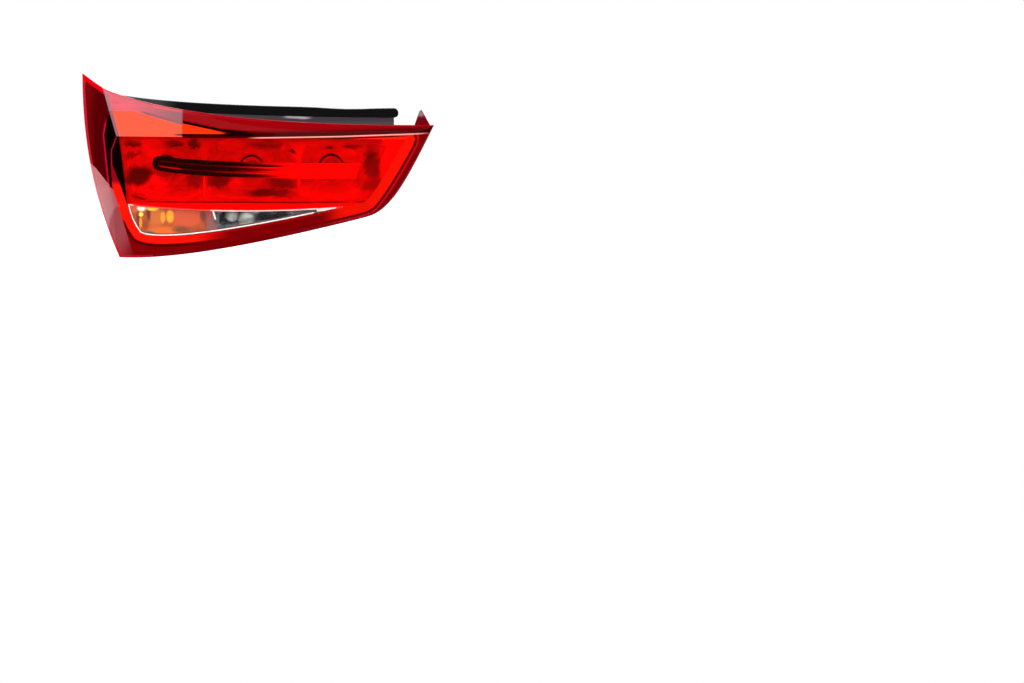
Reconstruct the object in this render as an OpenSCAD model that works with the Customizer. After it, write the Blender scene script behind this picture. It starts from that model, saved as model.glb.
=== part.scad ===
/* [Lens outline] */
// Width of the lens, from its outer edge to its inner tip
lamp_w = 400; // [385:1:415]
// Height of the lens, from its toe to the point of its spike
lamp_h = 208; // [200:1:216]
// Height of the inner tip above the toe
tip_z = 153; // [149:1:157]
// Distance of the toe from the outer edge
toe_x = 42; // [38:1:46]
// Distance from the inner tip to the heel, where the lower edge turns up
heel_in = 74; // [68:1:80]
// Height of the heel above the toe
heel_z = 49; // [46:1:52]
// Width of the upright flank at the top edge
flank_w = 24; // [20:1:28]
// Drop of the top edge along that flank
flank_drop = 17; // [14:1:20]

/* [Lens depth] */
// Depth of the spike behind the foremost point of the lens
spike_y = 56; // [52:1:58]
// Depth of the toe
toe_y = 30; // [26:1:34]
// Depth of the knuckle, where the flank meets the shoulder at the top edge
knuckle_y = 50; // [46:1:54]
// Depth of the inner tip
tip_y = 12; // [9:1:15]
// Depth of the heel
heel_y = 10; // [8:1:13]
// Radius of the pane's sweep round the car's corner, seen from above
sweep_r = 2800; // [2600:50:3400]
// Radius of the pane's crown, seen from the side
crown_r = 1500; // [1200:50:3000]

/* [Lens wall] */
// Thickness of the lens
lens_t = 3; // [2.6:0.1:3.4]
// Depth of the skirt that runs back from the lens's edge to its weld
skirt_d = 9; // [7:0.5:10]
// Width of the bevelled ring round the pane, at the lower edge
ring_w = 9; // [7:0.5:10]
// Width of that ring on the outer side, where it widens upwards
ring_outer_w = 14; // [12:0.5:15]
// Width of that ring along the pane's top edge
ring_top_w = 3; // [2:0.5:4]
// Width of that ring on the inner side
ring_inner_w = 5; // [4:0.5:7]
// Height that the pane stands proud of the frame round it
ring_step = 2.2; // [1.5:0.1:3]
// Height of the small locating fin at the inner corner
fin_h = 17.5; // [14:0.5:20]
// Width of that fin at its foot
fin_w = 20; // [16:1:24]

/* [Pane] */
// Distance from the inner tip in to the pane's corner
pane_tip_in = 33; // [30:1:36]
// Distance from the inner tip down to the pane's corner
pane_tip_down = 15.5; // [13:0.5:18]
// Distance from the outer edge in to the pane's upper corner
pane_outer_in = 42; // [40:1:46]
// Height of the pane's upper outer corner above the toe
pane_outer_z = 139; // [136:1:142]
// Distance from the toe in to the pane's lower corner
pane_toe_in = 24; // [22:1:27]
// Height of the pane's lower corner above the toe
pane_toe_z = 29; // [27:1:31]
// Distance from the heel out to the pane's lower inner corner
pane_heel_in = 4; // [0:1:8]
// Height of that corner above the heel
pane_heel_up = 17; // [15:1:20]
// Height on the outer side at which the red pane meets the clear one
split_z = 62.9; // [61:0.5:65]
// Drop of that line below the height at its outer end
split_sag = 10; // [8:0.5:12]

/* [Chambers] */
// Share of the pane's width at the middle of the divider between the stop and tail chambers
divider_1 = 0.3; // [0.29:0.01:0.31]
// Share of the pane's width at the middle of the divider between the tail and fog chambers
divider_2 = 0.628; // [0.61:0.002:0.646]
// Width of a divider
divider_w = 6; // [5:0.5:8]
// Width of the bezel between the red pane's sides and its chambers
chamber_side = 6; // [5:0.5:8]
// Width of the bezel on the inner side of the fog chamber
chamber_inner = 14; // [11:1:17]
// Width of the bezel above and below the red chambers
chamber_rim = 4.5; // [4:0.5:6]
// Distance from the pane's foremost plane back to the bezel, at its inner end
bezel_y = 9; // [8:0.5:11]
// Distance from the pane's face back to the bezel, at its outer end
bezel_outer = 8; // [7:0.5:9]
// Thickness of the bezel
bezel_t = 2; // [1.6:0.1:2.6]
// Thickness of a reflector's wall
bowl_t = 1.6; // [1.2:0.1:2]
// Depth at which the bowls meet the necks round the bayonet bulbs
neck_y = 58; // [54:1:60]
// Radius of those necks
neck_r = 14.5; // [14.2:0.1:15]
// Radius of the hole for a wedge bulb
small_hole_r = 8.6; // [8.4:0.1:8.8]
// Width of the bright rim round the lower chambers
trim_w = 1.2; // [1:0.1:1.8]
// Thickness of the amber inner lens
filter_t = 2; // [1.5:0.1:2.5]

/* [Wing] */
// Distance from the outer edge to the wing's round end
blade_x = 80; // [76:1:86]
// Distance from the inner tip to the wing's inner end
blade_in = 84; // [80:1:92]
// Height of the middle of the wing's round end
blade_z = 108.6; // [106:0.2:111]
// Width of the wing at its round end
blade_w = 16.4; // [15:0.2:18]
// Drop of the wing's middle along its length
blade_drop = 8; // [6:0.5:9]
// Height of the wing above the bezel
blade_h = 5; // [4:0.5:5.5]
// Distance from the wing's edge to its line of light
line_in = 4.6; // [4:0.2:5]
// Width of the line of light
line_w = 1.4; // [1:0.1:1.6]

/* [Bulbs] */
// Radius of a bayonet bulb's glass
bulb_r = 12.5; // [12:0.1:13]
// Radius of a bayonet bulb's cap
cap_r = 7.5; // [7.2:0.1:7.7]
// Radius of a wedge bulb's glass
wedge_r = 7; // [6.8:0.1:7.2]
// Depth at which the bayonet bulbs' glass ends at the front
bulb_front_y = 31; // [30:0.5:34]
// Depth at which the wedge bulbs' glass ends at the front
wedge_front_y = 38; // [36:0.5:42]
// Radius of a bayonet holder
holder_r = 11; // [10.5:0.1:11.5]
// Radius of a wedge holder
small_holder_r = 9.6; // [9:0.1:10]
// Thickness of a bulb's glass
glass_t = 0.8; // [0.6:0.1:1.2]

/* [Housing] */
// Depth of the housing's back
back_y = 84; // [82:1:88]
// Depth at which the housing is widest
waist_y = 68; // [67:0.5:70]
// Thickness of the housing's wall
wall_t = 2.5; // [2:0.1:3]
// Rise of the ledge under the sealing strip above the inner tip
ledge_up = 4; // [3:0.5:6]
// Distance from the inner tip to the end of that ledge
ledge_in = 44; // [40:1:50]
// Height of the sealing strip
seal_h = 10.5; // [9:0.5:12]
// Depth of the dip in that strip's top, near its inner end
seal_dip = 1.6; // [0:0.2:2.4]
// Thickness of the sealing strip
seal_t = 9; // [8:0.5:9.5]
// Height of the rib that carries the sealing strip
rib_h = 6; // [5:0.5:7]
// Thickness of that rib
rib_t = 3; // [2:0.5:4]
// Radius of a bore for a bayonet holder
bore_r = 13.8; // [13.4:0.1:14.1]
// Radius of a bore for a wedge holder
small_bore_r = 10.4; // [10.2:0.1:10.8]
// Radius of the breather caps
vent_r = 6; // [5.5:0.5:7]
// Height of the breather caps
vent_h = 6.5; // [6:0.5:8]
// Radius of the rubber stops
bump_r = 7; // [6:0.5:8]
// Height of the rubber stops
bump_h = 8; // [6:0.5:10]

/* [Fixings] */
// Radius of the studs' thread
stud_r = 3; // [2.5:0.5:3]
// Length of the studs beyond their seat
stud_l = 24; // [18:1:30]
// Radius of the studs' shank, which is pressed into the boss
shank_r = 4; // [3.5:0.1:4.2]
// Radius of the bosses behind the studs
boss_r = 9; // [8:0.5:10]
// Height of those bosses above the housing's back
boss_h = 4; // [3:0.5:5]
// Width of the foam rings round those bosses
foam_w = 3.7; // [3:0.1:4.5]
// Height of the foam rings above the bosses
foam_up = 1.5; // [1:0.5:2.5]
// Radius of the locating pin
pin_r = 4; // [3.5:0.1:4.5]
// Length of the locating pin
pin_l = 14; // [10:1:18]
// Radius of a carrier screw's shank
screw_r = 2; // [1.5:0.1:2.2]

/* [Carrier] */
// Thickness of the gasket behind the carrier
gasket_t = 2.5; // [2:0.1:3]
// Width of the gasket
gasket_w = 4; // [3:0.5:5]
// Thickness of the carrier's plate
plate_t = 3; // [2.5:0.1:3.5]
// Width of the connector's mouth
mouth_w = 28; // [27:0.5:32]
// Height of the connector's mouth
mouth_h = 11; // [10:0.5:12]
// Depth of the connector's collar
collar_d = 18; // [16:1:22]
// Thickness of the collar's wall
collar_t = 2.2; // [1.8:0.1:2.6]
// Length of the connector's blades
tab_l = 10; // [8:0.5:13]
// Distance between the connector's blades
blade_pitch = 4.2; // [4.1:0.1:4.4]
// Width of the contact strips
strip_w = 3; // [2.6:0.1:3.2]
// Thickness of the contact strips
strip_t = 0.8; // [0.6:0.1:1]

/* [Hidden] */

// Gap between pieces that seat on each other
seat_gap = 0.2;
// Gap round a piece that slides into another
slide_gap = 0.3;

// Segments of the outer side below the split, above it and along the flank's top, and of the long sides
low_n = 4;
side_n = 8;
crest_n = 2;
long_n = 24;
outer_n = low_n + side_n + crest_n;
inner_n = side_n + crest_n;
loop_n = outer_n + long_n + inner_n + long_n;
// Columns of the clear pane and of the bright rim behind it, which both end in a blunt point
clear_n = 22;
trim_n = 20;
filter_n = 10;
// Points of a chamber's outline
bowl_n = 24;
round_n = 48;

// Places on the lens's edge
toe = [toe_x, toe_y, 0];
spike = [0, spike_y, lamp_h];
knuckle = [flank_w, knuckle_y, lamp_h - flank_drop];
tip = [lamp_w, tip_y, tip_z];
heel = [lamp_w - heel_in, heel_y, heel_z];

function unit(v) = v / norm(v);
function mix(a, b, t) = a + (b - a) * t;
function bezier(p, t) =
    let (s = 1 - t)
    s * s * s * p[0] + 3 * s * s * t * p[1] + 3 * s * t * t * p[2] + t * t * t * p[3];
function curve(p, n) = [for (i = [0:n]) bezier(p, i / n)];
function part_of(v, f) = [v.x * f.x, v.y * f.y, v.z * f.z];
// A curve from a to b, whose two handles lie at shares of the way along each axis
function side(a, b, f, g, n) = curve([a, a + part_of(b - a, f), a + part_of(b - a, g), b], n);
function without_last(list) = [for (i = [0:len(list) - 2]) list[i]];
function reversed(list) = [for (i = [len(list) - 1:-1:0]) list[i]];
function joined(a, b) = concat(without_last(a), b);
function flat(lists) = [for (l = lists) each l];

// A loop from its four sides: up the outer one, along the top, down the inner one and back along the bottom
function loop_of(outer, top, inner, bottom) = concat(
    without_last(outer),
    without_last(top),
    without_last(reversed(inner)),
    without_last(reversed(bottom))
);

// Loop with the lamp's outline through five corners
function outline(toe, spike, knuckle, tip, heel) = loop_of(
    joined(
        side(toe, spike, [0.55, 0.36, 0.25], [1.02, 0.79, 0.57], low_n + side_n),
        side(spike, knuckle, [0.33, 0.33, 0.36], [0.67, 0.67, 0.69], crest_n)
    ),
    side(knuckle, tip, [0.15, 0.36, 0.6], [0.47, 0.9, 1.05], long_n),
    side(heel, tip, [0.35, 0.1, 0.07], [0.6, 0.4, 0.42], inner_n),
    side(toe, heel, [0.24, 0.63, -0.06], [0.66, 1, 0.49], long_n)
);

// Sideways direction out of a loop at point k, as long as a mitre needs, up to a limit
function outward(loop, k, most = 3) =
    let (
        n = len(loop),
        a = loop[k] - loop[(k + n - 1) % n],
        b = loop[(k + 1) % n] - loop[k],
        ea = unit([a.x, 0, a.z]),
        eb = unit([b.x, 0, b.z]),
        na = [-ea.z, 0, ea.x],
        nb = [-eb.z, 0, eb.x],
        m = (na + nb) / max(1 + na * nb, 0.05)
    )
    norm(m) > most ? m * most / norm(m) : m;
function grown(loop, d) =
    [for (k = [0:len(loop) - 1]) loop[k] + outward(loop, k) * (is_list(d) ? d[k] : d)];
function moved(loop, y) = [for (p = loop) [p.x, p.y + y, p.z]];
function at_depth(loop, y) = [for (p = loop) [p.x, y, p.z]];
function between(a, b, t) = [for (k = [0:len(a) - 1]) mix(a[k], b[k], t)];
function flat_xz(loop) = [for (p = loop) [p.x, p.z]];

// Depth of the pane's outer face, and of the bezel's front
function face_y(x, z) = pow(x - (lamp_w - 40), 2) / (2 * sweep_r) + pow(z - 100, 2) / (2 * crown_r);
function plane_y(x) = bezel_y + (lamp_w - pane_tip_in - x) * tan(bezel_tilt);
function on_face(loop, back = 0) = [for (p = loop) [p.x, face_y(p.x, p.z) + back, p.z]];
function on_plane(loop, back = 0) = [for (p = loop) [p.x, plane_y(p.x) + back, p.z]];

// Faces between two loops of n points that start at points a and b, and those of a cap over a four-sided loop
function band(a, b, n) = [
    for (k = [0:n - 1]) let (m = (k + 1) % n) each [[a + k, a + m, b + m], [a + k, b + m, b + k]]
];
function cap(at, nl, nt, nr) =
    let (n = nl + nt + nr + nt, t = nl + nt, h = nl + nt + nr)
    [
        for (k = [1:1:nl - 1]) [at, at + k, at + k + 1],
        for (i = [0:nt - 1])
            let (b = at + (h + nt - i) % n, c = at + (h + nt - i - 1) % n)
            each [[b, at + nl + i, at + nl + i + 1], [b, at + nl + i + 1, c]],
        for (k = [0:1:nr - 2]) [at + t + k, at + t + k + 1, at + h]
    ];
function turned(faces) = [for (f = faces) reversed(f)];

// A ring whose section runs through the loops in order: outer back, outer front, inner front, inner back
module ring_solid(loops) {
    n = len(loops[0]);
    m = len(loops);
    polyhedron(flat(loops), [for (i = [0:m - 1]) each band(i * n, ((i + 1) % m) * n, n)], convexity = 8);
}

// A skin through the loops in order, closed by caps over the first and the last one
module capped_solid(loops, nl, nt, nr) {
    n = len(loops[0]);
    m = len(loops);
    polyhedron(
        flat(loops),
        concat(
            turned(cap(0, nl, nt, nr)),
            [for (i = [0:m - 2]) each band(i * n, (i + 1) * n, n)],
            cap((m - 1) * n, nl, nt, nr)
        ),
        convexity = 8
    );
}

// Corners and sides of the pane
pane_ll = [toe_x + pane_toe_in, 0, pane_toe_z];
pane_ul = [pane_outer_in, 0, pane_outer_z];
pane_ur = [lamp_w - pane_tip_in, 0, tip_z - pane_tip_down];
pane_lr = [heel.x - pane_heel_in, 0, heel_z + pane_heel_up];
pane_split = [mix(pane_ll.x, pane_ul.x, 0.61), 0, split_z];
pane_low = side(pane_ll, pane_split, [0.55, 0, 0.3], [0.8, 0, 0.6], low_n);
pane_high = side(pane_split, pane_ul, [0.25, 0, 0.27], [0.5, 0, 0.62], inner_n);
pane_top = side(pane_ul, pane_ur, [0.02, 0, 1], [0.6, 0, 0], long_n);
pane_inner = side(pane_lr, pane_ur, [0.3, 0, 0.22], [0.65, 0, 0.6], inner_n);
pane_bottom = side(pane_ll, pane_lr, [0.1, 0, -0.35], [0.6, 0, 0.33], long_n);
pane_loop = on_face(loop_of(joined(pane_low, pane_high), pane_top, pane_inner, pane_bottom));
pane_w = pane_ur.x - pane_ul.x;
divider_1_x = pane_ul.x + pane_w * divider_1;
divider_2_x = pane_ul.x + pane_w * divider_2;
// Turn of the bezel round the upright axis, which follows the sweep
bezel_tilt = atan((face_y(pane_ul.x, pane_ul.z) + bezel_outer - bezel_y) / pane_w);

// The line between the red pane and the clear one, and the clear pane's blunt end
tip_height = 1.8;
split_end = pane_bottom[clear_n] + [1, 0, tip_height];
split_line = curve([
    pane_split,
    [mix(pane_split.x, split_end.x, 0.22), 0, split_z - split_sag * 0.6],
    [mix(pane_split.x, split_end.x, 0.56), 0, split_z - split_sag],
    split_end
], clear_n);

// Point of the red pane in column i and row j, blended from its four sides
function red_low(i) = i <= clear_n ? split_line[i] : pane_bottom[i];
function red_point(i, j) =
    let (u = i / long_n, v = j / inner_n)
    mix(red_low(i), pane_top[i], v) + mix(pane_high[j], pane_inner[j], u)
        - mix(mix(red_low(0), red_low(long_n), u), mix(pane_top[0], pane_top[long_n], u), v);
function clear_point(i, j) = mix(pane_bottom[i], split_line[i], j / low_n)
    + (pane_low[j] - mix(pane_ll, pane_split, j / low_n)) * max(0, 1 - i / 6);

// Widths of the bevelled ring, point by point
ring_widths = [
    for (k = [0:loop_n - 1])
        k < outer_n ? mix(ring_w, ring_outer_w, min(1, k / (low_n + 3)))
            : k == outer_n ? ring_top_w + 2
            : k < outer_n + long_n ? ring_top_w
            : k < outer_n + long_n + inner_n ? ring_inner_w
            : mix(ring_inner_w, ring_w, min(1, (k - outer_n - long_n - inner_n) / 6))
];

// Loops of the lens's outside, from the end of its skirt to the pane
edge = outline(toe, spike, knuckle, tip, heel);
edge_round = 1.2;
frame_bulge = 1.5;
crease = moved(on_face(grown(pane_loop, ring_widths)), ring_step);
edge_front = moved(grown(edge, -edge_round), -edge_round);
skin_out = [
    moved(grown(edge, -0.3), skirt_d),
    edge,
    edge_front,
    moved(between(edge_front, crease, 0.5), -frame_bulge),
    crease,
    pane_loop
];
// The same on its inside
crease_in = moved(grown(crease, -1), lens_t);
edge_in = moved(grown(edge, -lens_t), lens_t * 0.4);
skin_in = [
    moved(grown(edge, -lens_t), skirt_d),
    moved(grown(edge, -lens_t), lens_t),
    moved(grown(edge, -lens_t - 0.8), lens_t - edge_round + 0.6),
    moved(between(edge_in, crease_in, 0.5), lens_t * 0.5 - frame_bulge),
    crease_in,
    moved(pane_loop, lens_t)
];
skin_loops = len(skin_out);

// Points of the lens that lie within the pane loop: the red grid, the split line and the blunt end
red_grid = on_face([for (j = [1:inner_n - 1], i = [1:long_n - 1]) red_point(i, j)]);
red_split = on_face([for (i = [1:clear_n]) split_line[i]]);
red_end = on_face([for (j = [1:low_n - 1]) clear_point(clear_n, j)]);
red_inside = concat(red_grid, red_split, red_end);
red_count = skin_loops * loop_n + len(red_inside);

// Number of a point of the lens's skin, which starts at point s
function pane_at(s, k) = s + (skin_loops - 1) * loop_n + k % loop_n;
function bottom_at(s, i) = pane_at(s, outer_n + long_n + inner_n + long_n - i);
function split_at(s, i) =
    i == 0 ? pane_at(s, low_n) : s + skin_loops * loop_n + len(red_grid) + i - 1;
function end_at(s, j) =
    j == 0 ? bottom_at(s, clear_n)
        : j == low_n ? split_at(s, clear_n)
        : s + skin_loops * loop_n + len(red_grid) + len(red_split) + j - 1;
function red_at(s, i, j) =
    j == inner_n ? pane_at(s, outer_n + i)
        : i == 0 ? pane_at(s, low_n + j)
        : i == long_n ? pane_at(s, outer_n + long_n + inner_n - j)
        : j == 0 ? (i <= clear_n ? split_at(s, i) : bottom_at(s, i))
        : s + skin_loops * loop_n + (j - 1) * (long_n - 1) + i - 1;
function red_faces(s) = concat(
    [for (m = [0:skin_loops - 2]) each band(s + m * loop_n, s + (m + 1) * loop_n, loop_n)],
    [
        for (j = [0:inner_n - 1], i = [0:long_n - 1])
            let (
                a = red_at(s, i, j),
                b = red_at(s, i, j + 1),
                c = red_at(s, i + 1, j + 1),
                d = red_at(s, i + 1, j)
            )
            each [[a, b, c], [a, c, d]]
    ],
    [for (j = [0:low_n - 1]) [end_at(s, j), end_at(s, j + 1), bottom_at(s, clear_n + 1)]]
);
// The opening for the clear pane, as a list of point numbers
function opening_at(s) = concat(
    [for (j = [0:low_n - 1]) pane_at(s, j)],
    [for (i = [0:clear_n - 1]) split_at(s, i)],
    [for (j = [low_n:-1:1]) end_at(s, j)],
    [for (i = [clear_n:-1:1]) bottom_at(s, i)]
);
function wall(a, b) =
    let (n = len(a))
    [for (k = [0:n - 1]) let (m = (k + 1) % n) each [[a[k], a[m], b[m]], [a[k], b[m], b[k]]]];

// Outline of the clear pane or of what lies behind it, up to column n
function wedge_loop(n) = concat(
    [for (j = [0:low_n - 1]) clear_point(0, j)],
    [for (i = [0:n - 1]) clear_point(i, low_n)],
    [for (j = [low_n:-1:1]) clear_point(n, j)],
    [for (i = [n:-1:1]) clear_point(i, 0)]
);

// Outline of the bright rim's solid tail, from the middle of its last wall to the wedge's point
trim_inset = 0.7;
tail_inset = 0.85;
column_w = clear_point(trim_n, 0).x - clear_point(trim_n - 1, 0).x;
tail_start = trim_n - (trim_inset + trim_w / 2 + tail_inset) / column_w;
tail_columns = [tail_start, trim_n, trim_n + 1, trim_n + 1.5];
function column_at(t, j) =
    mix(clear_point(floor(t), j), clear_point(min(floor(t) + 1, clear_n), j), t - floor(t));
trim_tail = grown(
    concat(
        [column_at(tail_columns[0], 0)],
        [for (t = tail_columns) column_at(t, low_n)],
        [for (k = [len(tail_columns) - 1:-1:1]) column_at(tail_columns[k], 0)]
    ),
    -tail_inset
);

// Chambers behind the red pane, as four corners each: lower outer, upper outer, upper inner, lower inner
function height_at(x, a, b) = mix(a.z, b.z, (x - a.x) / (b.x - a.x));
function low_z(x) = height_at(x, pane_split, pane_lr) + chamber_rim;
function high_z(x) = height_at(x, pane_ul, pane_ur) - chamber_rim;
function chamber(a, b, c, d) = [[a, 0, low_z(a)], [b, 0, high_z(b)], [c, 0, high_z(c)], [d, 0, low_z(d)]];
half_divider = divider_w / 2;
stop_room = chamber(
    pane_split.x + chamber_side,
    pane_ul.x + chamber_side,
    divider_1_x - half_divider,
    divider_1_x - half_divider
);
tail_room = chamber(
    divider_1_x + half_divider,
    divider_1_x + half_divider,
    divider_2_x - half_divider,
    divider_2_x - half_divider
);
fog_room = chamber(
    divider_2_x + half_divider,
    divider_2_x + half_divider,
    pane_ur.x - chamber_inner,
    pane_lr.x - chamber_inner
);
// Chambers behind the clear pane, between columns a and b
room_inset = 2.2;
function low_room(a, b) =
    let (q = [clear_point(a, 0), clear_point(a, low_n), clear_point(b, low_n), clear_point(b, 0)])
    grown(q, -room_inset);
turn_room = grown(
    [clear_point(1, 1), clear_point(0, low_n), clear_point(10, low_n), clear_point(10, 0)],
    -room_inset
);
reverse_room = low_room(11, 18);

// Outline of a chamber: a rounded square mapped onto its four corners
function quad_point(q, s, t) = mix(mix(q[0], q[3], s), mix(q[1], q[2], s), t);
function room_loop(q) = [
    for (k = [0:bowl_n - 1])
        let (
            a = -360 * k / bowl_n - 180,
            r = pow(pow(abs(cos(a)), 6) + pow(abs(sin(a)), 6), 1 / 6)
        )
        quad_point(q, (1 + cos(a) / r) / 2, (1 + sin(a) / r) / 2)
];
function ring_loop(c, r, y) = [
    for (k = [0:bowl_n - 1]) let (a = -360 * k / bowl_n - 180) [c.x + r * cos(a), y, c.z + r * sin(a)]
];
function middle(q) = (q[0] + q[1] + q[2] + q[3]) / 4;

// Places of the bulbs
stop_at = middle(stop_room);
tail_at = middle(tail_room);
fog_at = middle(fog_room) + [-6, 0, 1];
turn_at = quad_point(turn_room, 0.4, 0.5);
reverse_at = quad_point(reverse_room, 0.17, 0.52);

function bright_loops(q, c, hole_r, tube_r, start_y) =
    let (
        rim = on_plane(room_loop(q), bezel_t + seat_gap),
        hole = ring_loop(c, hole_r, start_y),
        steps = [0, 0.35, 0.7],
        inside = [for (t = steps) [for (k = [0:bowl_n - 1])
            let (p = mix(hole[k], rim[k], t)) [p.x, mix(start_y, rim[k].y, t * t), p.z]]]
    )
    concat(
        [
            ring_loop(c, tube_r + bowl_t, back_y - wall_t - seat_gap),
            ring_loop(c, tube_r + bowl_t, start_y + 4)
        ],
        [for (l = inside) moved(grown(l, bowl_t), bowl_t * 0.7)],
        [
            moved(grown(rim, bowl_t), bowl_t),
            moved(grown(rim, bowl_t), 0),
            rim
        ],
        reversed(inside),
        [ring_loop(c, tube_r, start_y + 4), ring_loop(c, tube_r, back_y - wall_t - seat_gap)]
    );
module bowl(q, c, hole_r, tube_r, start_y) ring_solid(bright_loops(q, c, hole_r, tube_r, start_y));

// Outline of the wing, and its counts of segments
wing_end_n = 4;
wing_long_n = 10;
wing_inner_n = 1;
wing_x2 = lamp_w - blade_in;
wing_round = 6;
wing_a = [blade_x + wing_round, 0, blade_z - blade_w / 2];
wing_b = [blade_x + wing_round, 0, blade_z + blade_w / 2];
wing_c = [wing_x2, 0, blade_z + blade_w / 2 - blade_drop + 0.6];
wing_d = [wing_x2 - 5, 0, blade_z - blade_w / 2 - blade_drop - 0.6];
wing = loop_of(
    side(wing_a, wing_b, [0, 0, 0.04], [0, 0, 0.96], wing_end_n),
    side(wing_b, wing_c, [0.25, 0, 1], [0.6, 0, 1.1], wing_long_n),
    side(wing_d, wing_c, [0.33, 0, 0.33], [0.67, 0, 0.67], wing_inner_n),
    side(wing_a, wing_d, [0.2, 0, 0.95], [0.5, 0, 1], wing_long_n)
);
// The round end bulges out by its radius
function wing_bulge(k) = k > 0 && k < wing_end_n ? sin(180 * k / wing_end_n) * wing_round : 0;
wing_loop = [for (k = [0:len(wing) - 1]) wing[k] - [wing_bulge(k), 0, 0]];

// Loops of the housing
rear_toe = [toe_x + 4, 0, 5];
rear_spike = [10, 0, lamp_h - 28];
rear_knuckle = [flank_w + 10, 0, lamp_h - flank_drop - 20];
rear_tip = [lamp_w - 24, 0, tip_z - 6];
rear_heel = [heel.x - 2, 0, heel_z + 6];
waist = at_depth(outline(rear_toe, rear_spike, rear_knuckle, rear_tip, rear_heel), waist_y);
seal_gap = 0.6;
waist_d = seal_t + 2 * seal_gap;
rear = at_depth(
    outline(
        rear_toe + [8, 0, 4],
        rear_spike + [7, 0, -8],
        rear_knuckle + [7, 0, -4],
        rear_tip + [-14, 0, -3],
        rear_heel + [-3, 0, 6]
    ),
    back_y
);
weld_gap = 0.2;
rim_out = moved(grown(edge, -0.6), skirt_d + weld_gap);
tub = [
    rear,
    moved(waist, waist_d),
    waist,
    rim_out,
    moved(grown(edge, -lens_t - 0.2), skirt_d + weld_gap),
    grown(waist, -wall_t),
    moved(grown(waist, -wall_t), waist_d - 0.5),
    moved(grown(rear, -wall_t), -wall_t)
];

// Top line of the ledge that carries the seal, and the tub's height below it
top_edge = side(
    [flank_w + 16, 0, lamp_h - 36],
    [lamp_w - ledge_in, 0, tip_z + ledge_up],
    [0.19, 0, 0.67],
    [0.51, 0, 0.93],
    long_n
);
tub_top = [for (i = [0:long_n]) [waist[outer_n + i].x, waist[outer_n + i].z]];
ledge = concat(
    [for (p = top_edge) [p.x, p.z]],
    [for (p = reversed(top_edge)) [p.x, lookup(p.x, tub_top) - wall_t / 2]]
);
function strip_of(line, a, b) =
    concat([for (p = line) [p.x, p.z + a]], [for (p = reversed(line)) [p.x, p.z + b]]);
seal_y = waist_y + seal_gap;
// Height of the sealing strip's top above the ledge at point i: it dips round a share of its length
dip_at = 0.88;
dip_reach = 0.12;
function seal_top(i) =
    let (off = min(1, abs(i / long_n - dip_at) / dip_reach))
    seal_h - seal_dip * (1 + cos(180 * off)) / 2;

// Outline of a polygon with its corners rounded
function corner_arc(p, q, r, radius) =
    let (
        u = unit(p - q),
        v = unit(r - q),
        half = acos(u * v) / 2,
        reach = radius / tan(half),
        a = q + u * reach,
        c = q + unit(u + v) * radius / sin(half),
        b = q + v * reach,
        a0 = atan2(a.y - c.y, a.x - c.x),
        turn = atan2(b.y - c.y, b.x - c.x) - a0,
        sweep = turn > 180 ? turn - 360 : turn < -180 ? turn + 360 : turn
    )
    [for (i = [0:4]) c + radius * [cos(a0 + sweep * i / 4), sin(a0 + sweep * i / 4)]];
function rounded(points, radius) =
    let (n = len(points))
    [for (k = [0:n - 1]) each corner_arc(points[(k + n - 1) % n], points[k], points[(k + 1) % n], radius)];

// Outline of a flat strip of width w along points
function strip_side(points, k, w) =
    let (
        n = len(points),
        a = unit(points[max(k, 1)] - points[max(k, 1) - 1]),
        b = unit(points[min(k + 1, n - 1)] - points[min(k + 1, n - 1) - 1]),
        m = [-a.y - b.y, a.x + b.x] / (1 + a * b)
    )
    points[k] + m * w / 2;
function strip(points, w) = concat(
    [for (k = [0:len(points) - 1]) strip_side(points, k, w)],
    [for (k = [len(points) - 1:-1:0]) strip_side(points, k, -w)]
);

// Carrier, connector and conductors, in width and height
plate_y = back_y + gasket_t;
rear_face_y = plate_y + plate_t;
stop_xz = [stop_at.x, stop_at.z];
tail_xz = [tail_at.x, tail_at.z];
fog_xz = [fog_at.x, fog_at.z];
turn_xz = [turn_at.x, turn_at.z];
reverse_xz = [reverse_at.x, reverse_at.z];
mouth_at = [tail_xz.x + 45, (tail_xz.y + reverse_xz.y) / 2];
carrier_corners = [
    [turn_xz.x - 24, turn_xz.y - 21],
    [turn_xz.x - 24, stop_xz.y + 24],
    [fog_xz.x + 20, fog_xz.y + 22],
    [fog_xz.x + 20, fog_xz.y - 18],
    [mouth_at.x + 26, mouth_at.y - 21],
    [reverse_xz.x + 28, reverse_xz.y - 13],
    [reverse_xz.x - 40, turn_xz.y - 21]
];
carrier_edge = rounded(carrier_corners, 8);
ear_r = 7;
ear_out = 4;
pad_r = 4.5;
// Place of a screw ear on the plate's side after corner k, at share t of its length
function ear_on(k, t) =
    let (a = carrier_corners[k], b = carrier_corners[(k + 1) % len(carrier_corners)], d = unit(b - a))
    mix(a, b, t) + [-d.y, d.x] * ear_out;
ears = [ear_on(0, 0.65), ear_on(1, 0.22), ear_on(1, 0.78), ear_on(3, 0.5)];
blade_x_at = [for (k = [0:5]) mouth_at.x + (k - 2.5) * blade_pitch];
function down_to(k, z) = [[blade_x_at[k], z], [blade_x_at[k], mouth_at.y]];
turn_path = concat([turn_xz, [turn_xz.x, reverse_xz.y + 15]], down_to(0, reverse_xz.y + 15));
reverse_path = concat([reverse_xz, reverse_xz + [16, 5]], down_to(1, reverse_xz.y + 5));
stop_path = concat([stop_xz, [stop_xz.x, mouth_at.y + 12]], down_to(2, mouth_at.y + 12));
tail_path = concat([tail_xz, [tail_xz.x, mouth_at.y + 17]], down_to(3, mouth_at.y + 17));
fog_path = concat([fog_xz, [fog_xz.x, mouth_at.y + 22]], down_to(4, mouth_at.y + 22));
bus_z = stop_xz.y + 17;
bus_x = turn_xz.x - 17;
bus_x2 = fog_xz.x + 14;
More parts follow.
